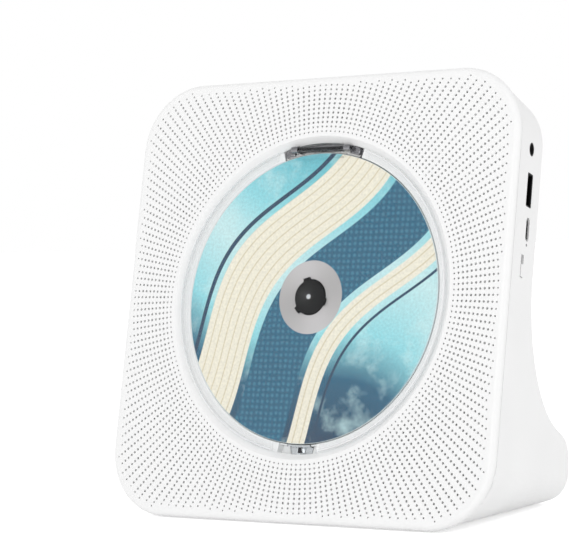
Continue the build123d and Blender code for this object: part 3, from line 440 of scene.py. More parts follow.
@dataclass(frozen=True)
class Meander:
    """Line that swings over the disc.

    It has a direction across it, a swing to each side in millimetres, a length in millimetres over
    which it turns through one radian, and the angle in radians where its swing starts.
    """

    across: tuple[float, float]
    bend: float
    length: float
    shift: float


@dataclass(frozen=True)
class PrintedDisc(Finish):
    """Lacquered screen print on polycarbonate: flat inks under a smooth gloss, and a clear hub ring painted
    grey with a painted reflection that turns in lighter and darker lobes.

    The print is a made-up one of flowing ribbons in aqua, cream, petrol and navy; its colour is the
    aqua. Bands and lines are given by their edges, as distances across the ribbon.
    """

    pale: str = "#cbeff1"
    shallow: str = "#6cc3d0"
    cream: str = "#f5f0de"
    line: str = "#d6caa6"
    petrol: str = "#17607f"
    dot: str = "#3f8fa9"
    navy: str = "#173f5c"
    rim: str = "#d5e2e4"
    # greys of the clear hub ring: a painted reflection, lighter and darker in lobes that turn about the axis
    mirror: tuple[str, ...] = ("#b2b0b0", "#bcbaba", "#c8c6c7")
    painted_reflection_lobes: int = 2
    painted_reflection_turn: float = 4.0
    hub_ring: float = 15.2
    edge: float = 59.85
    sky: Meander = Meander((0.28, 0.96), 8.0, 19.0, 0.4)
    ribbon: Meander = Meander((0.83, -0.56), 9.0, 21.0, 1.9)
    cream_bands: tuple[tuple[float, float], ...] = ((-34.0, -9.0), (24.0, 33.0))
    dotted_band: tuple[float, float] = (-5.5, 21.0)
    navy_lines: tuple[tuple[float, float], ...] = ((-38.5, -36.5), (36.0, 37.2))
    stripe_pitch: float = 1.9
    dot_pitch: float = 2.4
    bleed: float = 0.15
    seam: float = 0.1
    sky_reach: float = 60.0
    cloud_scale: float = 0.05
    speckle_scale: float = 0.9
    speckle_tones: tuple[float, float] = (0.9, 1.08)
    lacquer: float = 0.6
    lacquer_roughness: float = 0.04

    def ramp(self, tree: bpy.types.NodeTree, factor: object,
             stops: Sequence[tuple[float, str]]) -> bpy.types.Node:
        """Add a colour ramp.

        Args:
            tree: Material tree that gets the node.
            factor: Socket or node that drives the ramp.
            stops: Position and colour of each stop.

        Returns:
            The ramp node.
        """
        node = add_node(tree, "ShaderNodeValToRGB", factor)
        while len(node.color_ramp.elements) < len(stops):
            node.color_ramp.elements.new(0.5)
        for element, (position, colour) in zip(node.color_ramp.elements, stops):
            element.position = position
            element.color = linear(colour)
        return node

    def sweep(self, tree: bpy.types.NodeTree, place: object, path: Meander) -> bpy.types.Node:
        """Add the distance across a ribbon that meanders over the disc.

        Args:
            tree: Material tree that gets the nodes.
            place: Node with the place in the face frame.
            path: Line that the ribbon follows.

        Returns:
            Node whose output is the distance across the ribbon in millimetres.
        """
        right, up = path.across
        across = add_node(tree, "ShaderNodeVectorMath", place, (right, up, 0.0), operation="DOT_PRODUCT")
        along = add_node(tree, "ShaderNodeVectorMath", place, (-up / path.length, right / path.length, 0.0),
                         operation="DOT_PRODUCT")
        phase = add_node(tree, "ShaderNodeMath", along.outputs["Value"], path.shift, operation="ADD")
        swing = add_node(tree, "ShaderNodeMath", phase, operation="SINE")
        return add_node(tree, "ShaderNodeMath", swing, path.bend, across.outputs["Value"],
                        operation="MULTIPLY_ADD")

    def band(self, tree: bpy.types.NodeTree, distance: object,
             low: float, high: float) -> bpy.types.Node:
        """Add a mask that is one between two distances.

        Args:
            tree: Material tree that gets the nodes.
            distance: Node with the distance across the ribbon.
            low: Lower edge in millimetres.
            high: Upper edge in millimetres.

        Returns:
            Node whose output is the mask.
        """
        sides = [add_node(tree, "ShaderNodeMapRange", distance, at - self.bleed, at + self.bleed,
                          start, 1.0 - start) for at, start in ((low, 0.0), (high, 1.0))]
        return add_node(tree, "ShaderNodeMath", *sides, operation="MULTIPLY")

    def over(self, tree: bpy.types.NodeTree, mask: object, ink: object,
             ground: object) -> bpy.types.NodeSocket:
        """Add a layer of ink over what is below it.

        Args:
            tree: Material tree that gets the node.
            mask: Where the ink is.
            ink: Colour or socket of the ink.
            ground: Colour or socket below it.

        Returns:
            Socket with the colour.
        """
        layer = add_node(tree, "ShaderNodeMix", data_type="RGBA", named={0: mask, 6: ground, 7: ink})
        return layer.outputs["Result"]

    def skies(self, tree: bpy.types.NodeTree, flat: bpy.types.Node) -> bpy.types.NodeSocket:
        """Add the ground of the print, a sky in aqua over navy with pale clouds.

        Args:
            tree: Material tree that gets the nodes.
            flat: Node with the place laid flat on the face.

        Returns:
            Socket with the colour.
        """
        wash = add_node(tree, "ShaderNodeTexNoise", flat,
                        named={"Scale": self.cloud_scale, "Detail": 5.0, "Roughness": 0.62})
        climb = self.sweep(tree, flat, self.sky)
        height = add_node(tree, "ShaderNodeMapRange", climb, -self.sky_reach, self.sky_reach, 0.0, 1.0)
        ground = self.ramp(tree, height, ((0.0, self.navy), (0.22, self.petrol), (0.38, self.colour),
                                          (0.62, self.pale), (0.8, self.colour), (1.0, self.shallow)))
        clouds = add_node(tree, "ShaderNodeMapRange", wash, 0.5, 0.72, 0.0, 0.75)
        return self.over(tree, clouds, linear(self.pale), ground.outputs["Color"])

    def ribbons(self, tree: bpy.types.NodeTree, flat: bpy.types.Node, ground: object) -> object:
        """Add the striped, the dotted and the navy bands over the ground.

        Args:
            tree: Material tree that gets the nodes.
            flat: Node with the place laid flat on the face.
            ground: Colour below the bands.

        Returns:
            Socket with the colour.
        """
        ribbon = self.sweep(tree, flat, self.ribbon)
        stripe = add_node(tree, "ShaderNodeMath", ribbon, self.stripe_pitch, operation="PINGPONG")
        fine = add_node(tree, "ShaderNodeMapRange", stripe, 0.1, 0.5, 0.75, 0.0)
        paper = self.over(tree, fine, linear(self.line), linear(self.cream))
        dots = add_node(tree, "ShaderNodeTexVoronoi", flat,
                        named={"Scale": 1.0 / self.dot_pitch, "Randomness": 0.15})
        spot = add_node(tree, "ShaderNodeMapRange", dots.outputs["Distance"], 0.26, 0.34, 0.55, 0.0)
        dotted = self.over(tree, spot, linear(self.dot), linear(self.petrol))
        layers = [(edges, paper) for edges in self.cream_bands] + [(self.dotted_band, dotted)]
        layers += [(edges, linear(self.navy)) for edges in self.navy_lines]
        for edges, ink in layers:
            ground = self.over(tree, self.band(tree, ribbon, *edges), ink, ground)
        return ground

    def speckled(self, tree: bpy.types.NodeTree, flat: bpy.types.Node,
                 colour: object) -> bpy.types.NodeSocket:
        """Add the slight unevenness of the ink.

        Args:
            tree: Material tree that gets the nodes.
            flat: Node with the place laid flat on the face.
            colour: Colour of the even ink.

        Returns:
            Socket with the colour.
        """
        speckle = add_node(tree, "ShaderNodeTexNoise", flat,
                           named={"Scale": self.speckle_scale, "Detail": 4.0})
        tone = add_node(tree, "ShaderNodeMapRange", speckle, 0.3, 0.7, *self.speckle_tones)
        mottled = add_node(tree, "ShaderNodeVectorMath", colour, tone, operation="MULTIPLY")
        return mottled.outputs[0]

    def shader(self, tree: bpy.types.NodeTree) -> bpy.types.Node:
        """Add the print, the clear ring with its painted reflection, and the rim of the disc.

        Args:
            tree: Material tree that gets the nodes.

        Returns:
            The shader node.
        """
        flat, radius = FACE.radius(tree, FACE.coordinates(tree))
        print_colour = self.speckled(tree, flat, self.ribbons(tree, flat, self.skies(tree, flat)))
        # painted reflection on the clear hub ring: grey that swings between lighter and darker lobes around
        # the axis
        fan = add_node(tree, "ShaderNodeTexGradient", flat, gradient_type="RADIAL")
        turns = add_node(tree, "ShaderNodeMath", fan.outputs["Fac"],
                         self.painted_reflection_lobes * math.tau, self.painted_reflection_turn, operation="MULTIPLY_ADD")
        wave = add_node(tree, "ShaderNodeMath", turns, operation="SINE")
        painted_reflection_level = add_node(tree, "ShaderNodeMapRange", wave, -1.0, 1.0, 0.0, 1.0)
        mirror = self.ramp(tree, painted_reflection_level, tuple(zip((0.0, 0.5, 1.0), self.mirror)))
        clear = add_node(tree, "ShaderNodeMapRange", radius,
                         self.hub_ring - self.seam, self.hub_ring + self.seam, 1.0, 0.0)
        rim = add_node(tree, "ShaderNodeMapRange", radius,
                       self.edge - self.seam, self.edge + self.seam, 0.0, 1.0)
        colour = self.over(tree, clear, mirror.outputs["Color"], print_colour)
        colour = self.over(tree, rim, linear(self.rim), colour)
        return add_node(tree, "ShaderNodeBsdfPrincipled",
                        named={"Base Color": colour, "Roughness": self.roughness, "IOR": 1.5,
                               "Coat Weight": self.lacquer, "Coat Roughness": self.lacquer_roughness})


# satin white that stays even over the large shells, with a grain seen only at a glance
SHELL_WHITE = MouldedPlastic("moulded ABS, white", "#f7f7f7", 0.42)
# the same white with less gloss, so that the bay doesn't mirror the disc
BAY_WHITE = MouldedPlastic("moulded ABS, bay white", "#f5f6f6", 0.5)
# soft black of hidden parts, with a broad pale highlight
BLACK_ABS = MouldedPlastic("moulded ABS, black", "#101112", 0.36)
# deep black with small sharp glints on the hub and its claws
HUB_BLACK = MouldedPlastic("moulded acetal, polished black", "#0a0a0b", 0.2, grain_size=3.0,
                           grain_depth=0.02, ior=1.28)
# light-swallowing black that makes the sockets read as holes
SOCKET_BLACK = MouldedPlastic("moulded nylon, matt black", "#08080a", 0.7)
# milky off-white of bearing plastic on the gears and the rack
WHITE_POM = MouldedPlastic("moulded acetal, white", "#e8e6df", 0.42)
# grey dot that looks like an unlit lamp behind a tinted guide
LIGHT_GUIDE = MouldedPlastic("moulded polycarbonate, smoked guide", "#5a5c60", 0.3)
# nearly unseen, apart from a white border and a bright rim
CLEAR_COVER = CoverPlastic("polished polycarbonate, clear", "#ffffff", 0.015, ior=1.2)
# dark grey gloss with bright and black reflections side by side
SMOKED = SmokedPlastic("polished polycarbonate, smoked", "#77777b", 0.08)
# faint blue of a coated lens
LENS_GLASS = ClearPlastic("ground optical glass", "#c8d6f2", 0.01, ior=1.52)
# near-mirror that takes on the white around it
CHROME = Metal("chromium plate on steel", "#dfe3e6", 0.08, spread=0.04)
# blurred pale mirror of a brushed and plated catch
SATIN_CHROME = Metal("satin chromium plate on steel", "#c6cacd", 0.22)
# soft pale grey of bent sheet parts
NICKEL = Metal("nickel plate on sheet steel", "#c3c3c2", 0.24)
# nickel darkened as painted shade inside the socket mouths, and as a painted dark reflection on the catch's
# insert
PAINTED_DARK_NICKEL = Metal("sheet steel, nickel darkened as painted shade", "#3c3c3f", 0.35)
# long bright streaks along a ground rod
STEEL = Metal("ground steel bar", "#c4c5c6", 0.2, streak=(8.0, 0.2, 0.2))
# dark rod with one thin highlight along it
BLUED_STEEL = Metal("blackened steel pin", "#2c2c2e", 0.22, streak=(8.0, 0.2, 0.2))
# bluish grey, a little cloudy, on the screws
ZINC = Metal("zinc-plated screw steel", "#b4b8bc", 0.3)
# soft silver of deep-drawn motor cans
MOTOR_CAN = Metal("drawn steel can, nickel plated", "#c6c7c4", 0.26)
# dusty charcoal without a highlight
RUBBER = MottledSolid("moulded rubber", "#2b2b2c", 0.8, second="#3a3a3b", specular=0.25)
# mid-grey foot that hardly shines
PAD_RUBBER = MottledSolid("moulded rubber, grey foot", "#6f7072", 0.75, second="#7d7e80", specular=0.3)
# fibrous black of a pressed cone, mottled at a millimetre
CONE_PAPER = MottledSolid("pressed cone paper", "#1c1c1d", 0.85, second="#34332f", blotch=0.8)
# grainy dark grey of a fired magnet
FERRITE = MottledSolid("sintered ferrite", "#2c2d30", 0.55, second="#414246", blotch=0.5)
# smooth strong blue that dulls in patches where the sleeve shrank
SLEEVE = MottledSolid("shrink sleeve on cells", "#2f6fb0", 0.35, second="#2a63a0", blotch=6.0)
# glossy dark green with paler tracks
BOARD = CircuitBoard("solder mask on glass fibre", "#14502f", 0.35)
# flat black blocks with a fine tooth
CHIP_EPOXY = MottledSolid("moulded epoxy", "#1d1e20", 0.5, second="#2a2b2d", blotch=0.4)
# dark window that shows little while it is unlit
DISPLAY = MottledSolid("lamp display, diffuser over black", "#2a2b2d", 0.35, second="#3a3b3e", blotch=3.0)
# clean flat inks under a wet-looking lacquer
PRINT = PrintedDisc("screen print on polycarbonate", "#93dde6", 0.24)

# finish of each node, by its name or the start of it
DRESS: tuple[tuple[str, Finish], ...] = (
    ("front_shell", SHELL_WHITE), ("rear_housing", SHELL_WHITE), ("disc_bay", BAY_WHITE),
    ("case_screws", ZINC), ("bay_screws", ZINC), ("damper_screws", ZINC), ("board_screws", ZINC),
    ("hinge_bracket", SMOKED), ("cover_pin", BLUED_STEEL), ("clear_cover", CLEAR_COVER),
    ("strike_plate", CHROME), ("catch_magnet", NICKEL), ("disc", PRINT),
    ("turntable", BLACK_ABS), ("hub", HUB_BLACK), ("spindle_shaft", CHROME),
    ("spindle_motor", MOTOR_CAN), ("mechanism_deck", BLACK_ABS), ("damper", RUBBER),
    ("guide_rods", STEEL), ("pickup_sled", BLACK_ABS), ("lens_holder", BLACK_ABS), ("lens", LENS_GLASS),
    ("sled_rack", WHITE_POM), ("sled_gear", WHITE_POM), ("gear_pin", STEEL), ("sled_motor", MOTOR_CAN),
    ("motor_pinion", WHITE_POM), ("main_board", BOARD), ("board_chips", CHIP_EPOXY),
    # the socket shells get nickel darkened as painted shade inside their mouths
    ("aux_jack", SOCKET_BLACK), ("usb_a_shell", PAINTED_DARK_NICKEL), ("usb_c_shell", PAINTED_DARK_NICKEL),
    ("usb_a_tongue", SOCKET_BLACK), ("usb_c_tongue", SOCKET_BLACK), ("charge_light", LIGHT_GUIDE),
    ("switch_body", SHELL_WHITE), ("switch_knob", SHELL_WHITE), ("tact_switches", NICKEL),
    ("button_board", BOARD), ("button_", SHELL_WHITE), ("display_module", DISPLAY),
    ("battery_cells", SLEEVE), ("foot_pad", PAD_RUBBER), ("speaker_frame", MOTOR_CAN),
    ("speaker_cone", CONE_PAPER), ("speaker_magnet", FERRITE),
)


# ---------------------------------------------------------------- pieces
def dress_node(name: str, finish: Finish) -> None:
    """Give a node of the frame its finish.

    Args:
        name: Name of the node.
        finish: Finish that it gets.
    """
    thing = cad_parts[name]
    material = finish.material()
    if not thing.material_slots:
        thing.data.materials.append(material)
    for slot in thing.material_slots:
        slot.material = material


def dress_all_nodes() -> None:
    """Give every node of the frame the finish that its name asks for."""
    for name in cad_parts:
        fits = [finish for start, finish in DRESS if name.startswith(start)]
        exact = [finish for start, finish in DRESS if name == start]
        dress_node(name, (exact or fits)[0])
        LOG.info("node %s: %s", name, (exact or fits)[0].name)


def node_mesh(name: str) -> bpy.types.Mesh:
    """Copy a node's mesh into face millimetres with its doubles merged.

    Args:
        name: Name of the node.

    Returns:
        The copy.
    """
    work = bmesh.new()
    work.from_mesh(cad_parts[name].data)
    work.transform(FACE.matrix().inverted())
    bmesh.ops.remove_doubles(work, verts=work.verts, dist=0.0005)
    mesh = bpy.data.meshes.new(name + "_copy")
    work.to_mesh(mesh)
    work.free()
    return mesh


def link(name: str, mesh: bpy.types.Mesh) -> bpy.types.Object:
    """Make an object for a mesh and put it into the scene.

    Args:
        name: Name of the object.
        mesh: Its mesh.

    Returns:
        The object.
    """
    thing = bpy.data.objects.new(name, mesh)
    bpy.context.scene.collection.objects.link(thing)
    return thing


def evaluated(thing: bpy.types.Object) -> bpy.types.Object:
    """Replace an object's mesh by its evaluated one and drop its modifiers.

    Args:
        thing: Object with modifiers.

    Returns:
        The same object with a plain mesh.
    """
    bpy.context.view_layer.update()
    graph = bpy.context.evaluated_depsgraph_get()
    mesh = bpy.data.meshes.new_from_object(thing.evaluated_get(graph), depsgraph=graph)
    thing.modifiers.clear()
    thing.data = mesh
    return thing


def level_flats(mesh: bpy.types.Mesh, level_cosine: float = 0.9995, broad: float = 4e-6) -> None:
    """Give the corners of every flat area its own normal, so that long triangles don't streak.

    Args:
        mesh: Mesh in metres.
        level_cosine: Cosine above which neighbouring faces count as one flat area.
        broad: Area in square metres above which a face counts as flat by itself.
    """
    work = bmesh.new()
    work.from_mesh(mesh)
    work.faces.ensure_lookup_table()
    flat = [False] * len(work.faces)
    for face in work.faces:
        near = [edge.link_faces for edge in face.edges]
        level = sum(1 for pair in near
                    if len(pair) == 2 and pair[0].normal.dot(pair[1].normal) > level_cosine)
        flat[face.index] = level >= 2 or face.calc_area() > broad
    work.free()
    normals = [corner.vector.copy() for corner in mesh.corner_normals]
    for polygon in mesh.polygons:
        if flat[polygon.index]:
            for corner in polygon.loop_indices:
                normals[corner] = polygon.normal.copy()
    mesh.normals_split_custom_set(normals)


def settle(thing: bpy.types.Object, finish: Finish, body: str,
           nodes: Sequence[str] = (), crease: float = 30.0, level: bool = True) -> bpy.types.Object:
    """Move a piece from face millimetres to the table, dress it and put it on its body.

    Args:
        thing: Piece whose mesh is in face millimetres.
        finish: Finish of the piece.
        body: Body that it moves with.
        nodes: Nodes of the frame that it stands for.
        crease: Angle in degrees above which an edge stays sharp.
        level: Whether the piece has flat areas to be levelled.

    Returns:
        The piece.
    """
    thing.data.transform(FACE.matrix())
    thing.data.update()
    thing.data.materials.clear()
    thing.data.materials.append(finish.material())
    thing.data.polygons.foreach_set("material_index", [0] * len(thing.data.polygons))
    thing.data.set_sharp_from_angle(angle=math.radians(crease))
    if level:
        level_flats(thing.data)
    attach(thing, body)
    for node in nodes:
        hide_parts(node)
    LOG.info("piece %s: %d faces, %s", thing.name, len(thing.data.polygons), finish.name)
    return thing


def arc_solid(work: bmesh.types.BMesh, profile: Sequence[tuple[float, float]],
              start: float, stop: float, steps: int) -> None:
    """Sweep a closed profile about the bay's axis between two angles.

    Args:
        work: Mesh that gets the solid.
        profile: Radius and height of each corner of the profile.
        start: First angle in degrees.
        stop: Last angle in degrees.
        steps: Number of spans.
    """
    rows = []
    for step in range(steps + 1):
        angle = math.radians(start + (stop - start) * step / steps)
        rows.append([work.verts.new((radius * math.cos(angle), radius * math.sin(angle), height))
                     for radius, height in profile])
    for first, second in zip(rows, rows[1:]):
        for index in range(len(profile)):
            follow = (index + 1) % len(profile)
            work.faces.new((first[index], first[follow], second[follow], second[index]))
    work.faces.new(list(reversed(rows[0])))
    work.faces.new(rows[-1])


def finish_mesh(name: str, work: bmesh.types.BMesh) -> bpy.types.Object:
    """Turn a work mesh into an object whose faces point outwards.

    Args:
        name: Name of the object.
        work: Mesh in face millimetres; it is freed.

    Returns:
        The object.
    """
    bmesh.ops.recalc_face_normals(work, faces=work.faces)
    mesh = bpy.data.meshes.new(name)
    work.to_mesh(mesh)
    work.free()
    return link(name, mesh)


class GrilleHole(Enum):
    """Kinds of hole in the grille, by how far the drill goes in."""

    BLIND = 2.1
    THROUGH = 3.2


@dataclass
class FrontShell:
    """Moulded front with its polar lattice of fine holes.

    The holes are a little wider than the solid's own, which are 0.95 mm, so that they show at a
    distance. They narrow towards the shell's rim and towards the bay.
    """

    columns: int = 200
    rings: int = 24
    first_ring: float = 68.7
    pitch: float = 1.95
    hole: float = 1.1
    sides: int = 8
    clip_half: float = 88.6
    clip_corner: float = 24.0
    speaker: float = 66.05
    speaker_radius: float = 20.0
    window_half: float = 13.6
    window_low: float = 71.5
    window_high: float = 84.2
    rim_fade: float = 4.0
    rim_hole: float = 0.72
    bay_fade: float = 2.0
    bay_hole: float = 0.74
    proud: float = 0.4

    def lattice(self) -> bpy.types.NodeTree:
        """Build the tree that drills the grille.

        Returns:
            Geometry tree that takes the plate and gives it back with its holes.
        """
        tree = bpy.data.node_groups.new("drilled grille", "GeometryNodeTree")
        tree.interface.new_socket("Geometry", in_out="OUTPUT", socket_type="NodeSocketGeometry")
        tree.interface.new_socket("Geometry", in_out="INPUT", socket_type="NodeSocketGeometry")
        sizes = {"Columns": self.columns, "Rings": self.rings, "First Ring": self.first_ring,
                 "Pitch": self.pitch, "Hole": self.hole, "Clip Half": self.clip_half,
                 "Clip Corner": self.clip_corner, "Speaker": self.speaker,
                 "Speaker Radius": self.speaker_radius,
                 "Window Half": self.window_half, "Window Low": self.window_low,
                 "Window High": self.window_high}
        for name, value in sizes.items():
            kind = "NodeSocketInt" if isinstance(value, int) else "NodeSocketFloat"
            tree.interface.new_socket(name, in_out="INPUT", socket_type=kind).default_value = value
        tree.interface.new_socket("Finish", in_out="INPUT", socket_type="NodeSocketMaterial")
        given = add_node(tree, "NodeGroupInput").outputs

        index = add_node(tree, "GeometryNodeInputIndex")
        count = add_node(tree, "ShaderNodeMath", given["Columns"], given["Rings"], operation="MULTIPLY")
        share = add_node(tree, "ShaderNodeMath", index, given["Columns"], operation="DIVIDE")
        ring = add_node(tree, "ShaderNodeMath", share, operation="FLOOR")
        part = add_node(tree, "ShaderNodeMath", share, operation="FRACT")
        angle = add_node(tree, "ShaderNodeMath", part, math.tau, math.pi / 2, operation="MULTIPLY_ADD")
        radius = add_node(tree, "ShaderNodeMath", ring, given["Pitch"], given["First Ring"],
                          operation="MULTIPLY_ADD")
        shares = [add_node(tree, "ShaderNodeMath", angle, operation=kind) for kind in ("COSINE", "SINE")]
        x, y = (add_node(tree, "ShaderNodeMath", part, radius, operation="MULTIPLY") for part in shares)
        side, high = (add_node(tree, "ShaderNodeMath", part, operation="ABSOLUTE") for part in (x, y))

        straight = add_node(tree, "ShaderNodeMath", given["Clip Half"], given["Clip Corner"],
                            operation="SUBTRACT")
        outside = [add_node(tree, "ShaderNodeMath", part, straight, operation="SUBTRACT")
                   for part in (side, high)]
        capped = [add_node(tree, "ShaderNodeMath", part, 0.0, operation="MAXIMUM") for part in outside]
        far = add_node(tree, "ShaderNodeCombineXYZ", *capped)
        reach = add_node(tree, "ShaderNodeVectorMath", far, operation="LENGTH").outputs["Value"]
        beyond = add_node(tree, "ShaderNodeMath", reach, given["Clip Corner"], operation="GREATER_THAN")

        low = add_node(tree, "ShaderNodeMath", given["Speaker"], -1.0, operation="MULTIPLY")
        folded = add_node(tree, "ShaderNodeCombineXYZ", side, y)
        middle = add_node(tree, "ShaderNodeCombineXYZ", given["Speaker"], low)
        gap = add_node(tree, "ShaderNodeVectorMath", folded, middle, operation="DISTANCE").outputs["Value"]
        sounding = add_node(tree, "ShaderNodeMath", gap, given["Speaker Radius"], operation="LESS_THAN")
        inside = add_node(tree, "ShaderNodeMath", side, given["Window Half"], operation="LESS_THAN")
        above = add_node(tree, "ShaderNodeMath", y, given["Window Low"], operation="GREATER_THAN")
        below = add_node(tree, "ShaderNodeMath", y, given["Window High"], operation="LESS_THAN")
        across = add_node(tree, "ShaderNodeMath", above, below, operation="MULTIPLY")
        window = add_node(tree, "ShaderNodeMath", inside, across, operation="MULTIPLY")
        through = add_node(tree, "ShaderNodeMath", sounding, window, operation="MAXIMUM")
        depth = add_node(tree, "ShaderNodeMapRange", through, 0.0, 1.0,
                         GrilleHole.BLIND.value, GrilleHole.THROUGH.value)

        edge = add_node(tree, "ShaderNodeMath", given["Clip Corner"], reach, operation="SUBTRACT")
        fades = [add_node(tree, "ShaderNodeMapRange", along, 0.0, reach_of_fade, narrow, 1.0)
                 for along, reach_of_fade, narrow in ((edge, self.rim_fade, self.rim_hole),
                                                      (ring, self.bay_fade, self.bay_hole))]
        width = add_node(tree, "ShaderNodeMath", *fades, operation="MINIMUM")
        length = add_node(tree, "ShaderNodeMath", depth, self.proud, operation="ADD")
        sink = add_node(tree, "ShaderNodeMath", length, -0.5, self.proud, operation="MULTIPLY_ADD")
        spot = add_node(tree, "ShaderNodeCombineXYZ", x, y, sink)
        size = add_node(tree, "ShaderNodeCombineXYZ", width, width, length)
        turn = add_node(tree, "ShaderNodeCombineXYZ", 0.0, 0.0, angle)

        points = add_node(tree, "GeometryNodePoints", count, spot)
        half = add_node(tree, "ShaderNodeMath", given["Hole"], 0.5, operation="MULTIPLY")
        drill = add_node(tree, "GeometryNodeMeshCylinder",
                         named={"Vertices": self.sides, "Radius": half, "Depth": 1.0})
        keep = add_node(tree, "ShaderNodeMath", 1.0, beyond, operation="SUBTRACT")
        drills = add_node(tree, "GeometryNodeInstanceOnPoints", points, keep, drill,
                          named={"Rotation": turn, "Scale": size})
        solid = add_node(tree, "GeometryNodeRealizeInstances", drills)
        cut = add_node(tree, "GeometryNodeMeshBoolean", operation="DIFFERENCE", solver="MANIFOLD",
                       named={"Mesh 1": given["Geometry"], "Mesh 2": solid})
        whole = add_node(tree, "GeometryNodeRealizeInstances", cut)
        finished = add_node(tree, "GeometryNodeSetMaterial", whole, named={"Material": given["Finish"]})
        add_node(tree, "NodeGroupOutput", finished)
        return tree

    def build(self) -> bpy.types.Object:
        """Drill the shell and put it in place of its node.

        Returns:
            The piece.
        """
        shell = link("perforated_front", node_mesh("front_shell"))
        drilling = shell.modifiers.new("grille", "NODES")
        drilling.node_group = self.lattice()
        for item in drilling.node_group.interface.items_tree:
            if item.in_out == "INPUT" and item.socket_type == "NodeSocketMaterial":
                drilling[item.identifier] = SHELL_WHITE.material()
            elif item.in_out == "INPUT" and item.socket_type != "NodeSocketGeometry":
                drilling[item.identifier] = item.default_value
        evaluated(shell)
        return settle(shell, SHELL_WHITE, "case", ["front_shell"])


@dataclass
class RearHousing:
    """Rear housing with the fine shadow groove behind its joint with the front shell."""

    groove_front: float = 3.7
    groove_width: float = 0.6
    groove_depth: float = 1.3

    def build(self) -> bpy.types.Object:
        """Cut the groove into a copy of the housing and put it in place of its node.

        Returns:
            The piece.
        """
        housing = link("grooved_housing", node_mesh("rear_housing"))
        work = bmesh.new()
        work.from_mesh(housing.data)
        middle = self.groove_front + self.groove_width / 2
        for depth in (self.groove_front, middle, self.groove_front + self.groove_width):
            bmesh.ops.bisect_plane(work, geom=work.verts[:] + work.edges[:] + work.faces[:],
                                   plane_co=(0.0, 0.0, -depth), plane_no=(0.0, 0.0, 1.0))
        work.normal_update()
        for vert in work.verts:
            out = Vector((vert.normal.x, vert.normal.y, 0.0)).normalized()
            if abs(vert.co.z + middle) < 0.001 and out.dot(vert.co) > 0.0:
                vert.co -= self.groove_depth * out
        work.to_mesh(housing.data)
        work.free()
        return settle(housing, SHELL_WHITE, "case", ["rear_housing"])


@dataclass
class DiscBay:
    """White land around the disc, with its lower part beside the catch, and the catch's plate."""

    inner: float = 60.3
    outer: float = 64.28
    front: float = -2.9
    floor: float = -9.5
    round: float = 0.3
    hinge_half: float = 20.2
    bracket_half: float = 18.6
    bracket_front: float = -4.45
    catch_half: float = 9.0
    landing_front: float = -6.5
    plate_half: float = 5.85
    plate_taper: float = 0.27
    plate_inner: float = 61.0
    wall_outer: float = 60.9
    slot_half: float = 6.0
    slot_end: float = 62.75
    bridge_back: float = -4.75
    lip_half: float = 5.3
    lip_front: float = -4.1
    lip_outer: float = 61.1
    plate_back: float = -7.4

    def angle(self, half: float) -> float:
        """Angle in degrees that half a width takes up at the disc's edge."""
        return math.degrees(math.asin(half / self.inner))

    def profile(self, front: float, floor: float) -> tuple[tuple[float, float], ...]:
        """Section of the land with a rounded inner edge, as radius and height."""
        return ((self.inner, floor), (self.outer, floor), (self.outer, front),
                (self.inner + self.round, front), (self.inner, front - self.round))

    def land(self) -> bpy.types.Object:
        """Build the land in arcs that leave room for the hinge, the catch and the pickup's tower.

        Returns:
            The piece.
        """
        hinge, bracket, catch, plate, slot = map(self.angle, (
            self.hinge_half, self.bracket_half, self.catch_half, self.plate_half, self.slot_half))
        whole = self.profile(self.front, self.floor)
        thin = self.profile(self.front, self.bracket_front)
        low = ((self.inner, self.floor), (self.outer, self.floor), (self.outer, self.landing_front),
               (self.wall_outer, self.landing_front), (self.wall_outer, self.lip_front),
               (self.inner, self.lip_front))
        bridge = ((self.inner, self.bridge_back), (self.slot_end, self.bridge_back),
                  (self.slot_end, self.floor), *whole[1:])
        work = bmesh.new()
        arc_solid(work, low, -90.0 + plate, -90.0 + catch, 4)
        arc_solid(work, whole, -90.0 + catch, 90.0 - hinge, 60)
        arc_solid(work, thin, 90.0 - hinge, 90.0 - bracket, 2)
        arc_solid(work, thin, 90.0 + bracket, 90.0 + hinge, 2)
        arc_solid(work, whole, 90.0 + hinge, 180.0 - slot, 30)
        arc_solid(work, bridge, 180.0 - slot, 180.0 + slot, 8)
        arc_solid(work, whole, 180.0 + slot, 270.0 - catch, 30)
        arc_solid(work, low, 270.0 - catch, 270.0 - plate, 4)
        for vert in work.verts:
            if vert.co.y < 0.0 and abs(vert.co.x) < self.plate_half * self.outer / self.inner + 0.1:
                narrower = self.plate_taper * max(0.0, -vert.co.y - self.plate_inner)
                vert.co.x = math.copysign(self.plate_half - narrower, vert.co.x)
        return settle(finish_mesh("bay_land", work), BAY_WHITE, "case")

    def plate(self) -> bpy.types.Object:
        """Build the catch's plate: a copy of the node with a lip bent up beside the disc.

        Returns:
            The piece.
        """
        half = self.angle(self.lip_half)
        work = bmesh.new()
        work.from_mesh(node_mesh("strike_plate"))
        arc_solid(work, ((self.inner, self.plate_back), (self.lip_outer, self.plate_back),
                         (self.lip_outer, self.lip_front), (self.inner, self.lip_front)),
                  270.0 - half, 270.0 + half, 6)
        return settle(finish_mesh("catch_plate", work), SATIN_CHROME, "case",
                      ["strike_plate"])

    def build(self) -> None:
        """Build both pieces."""
        self.land()
        self.plate()


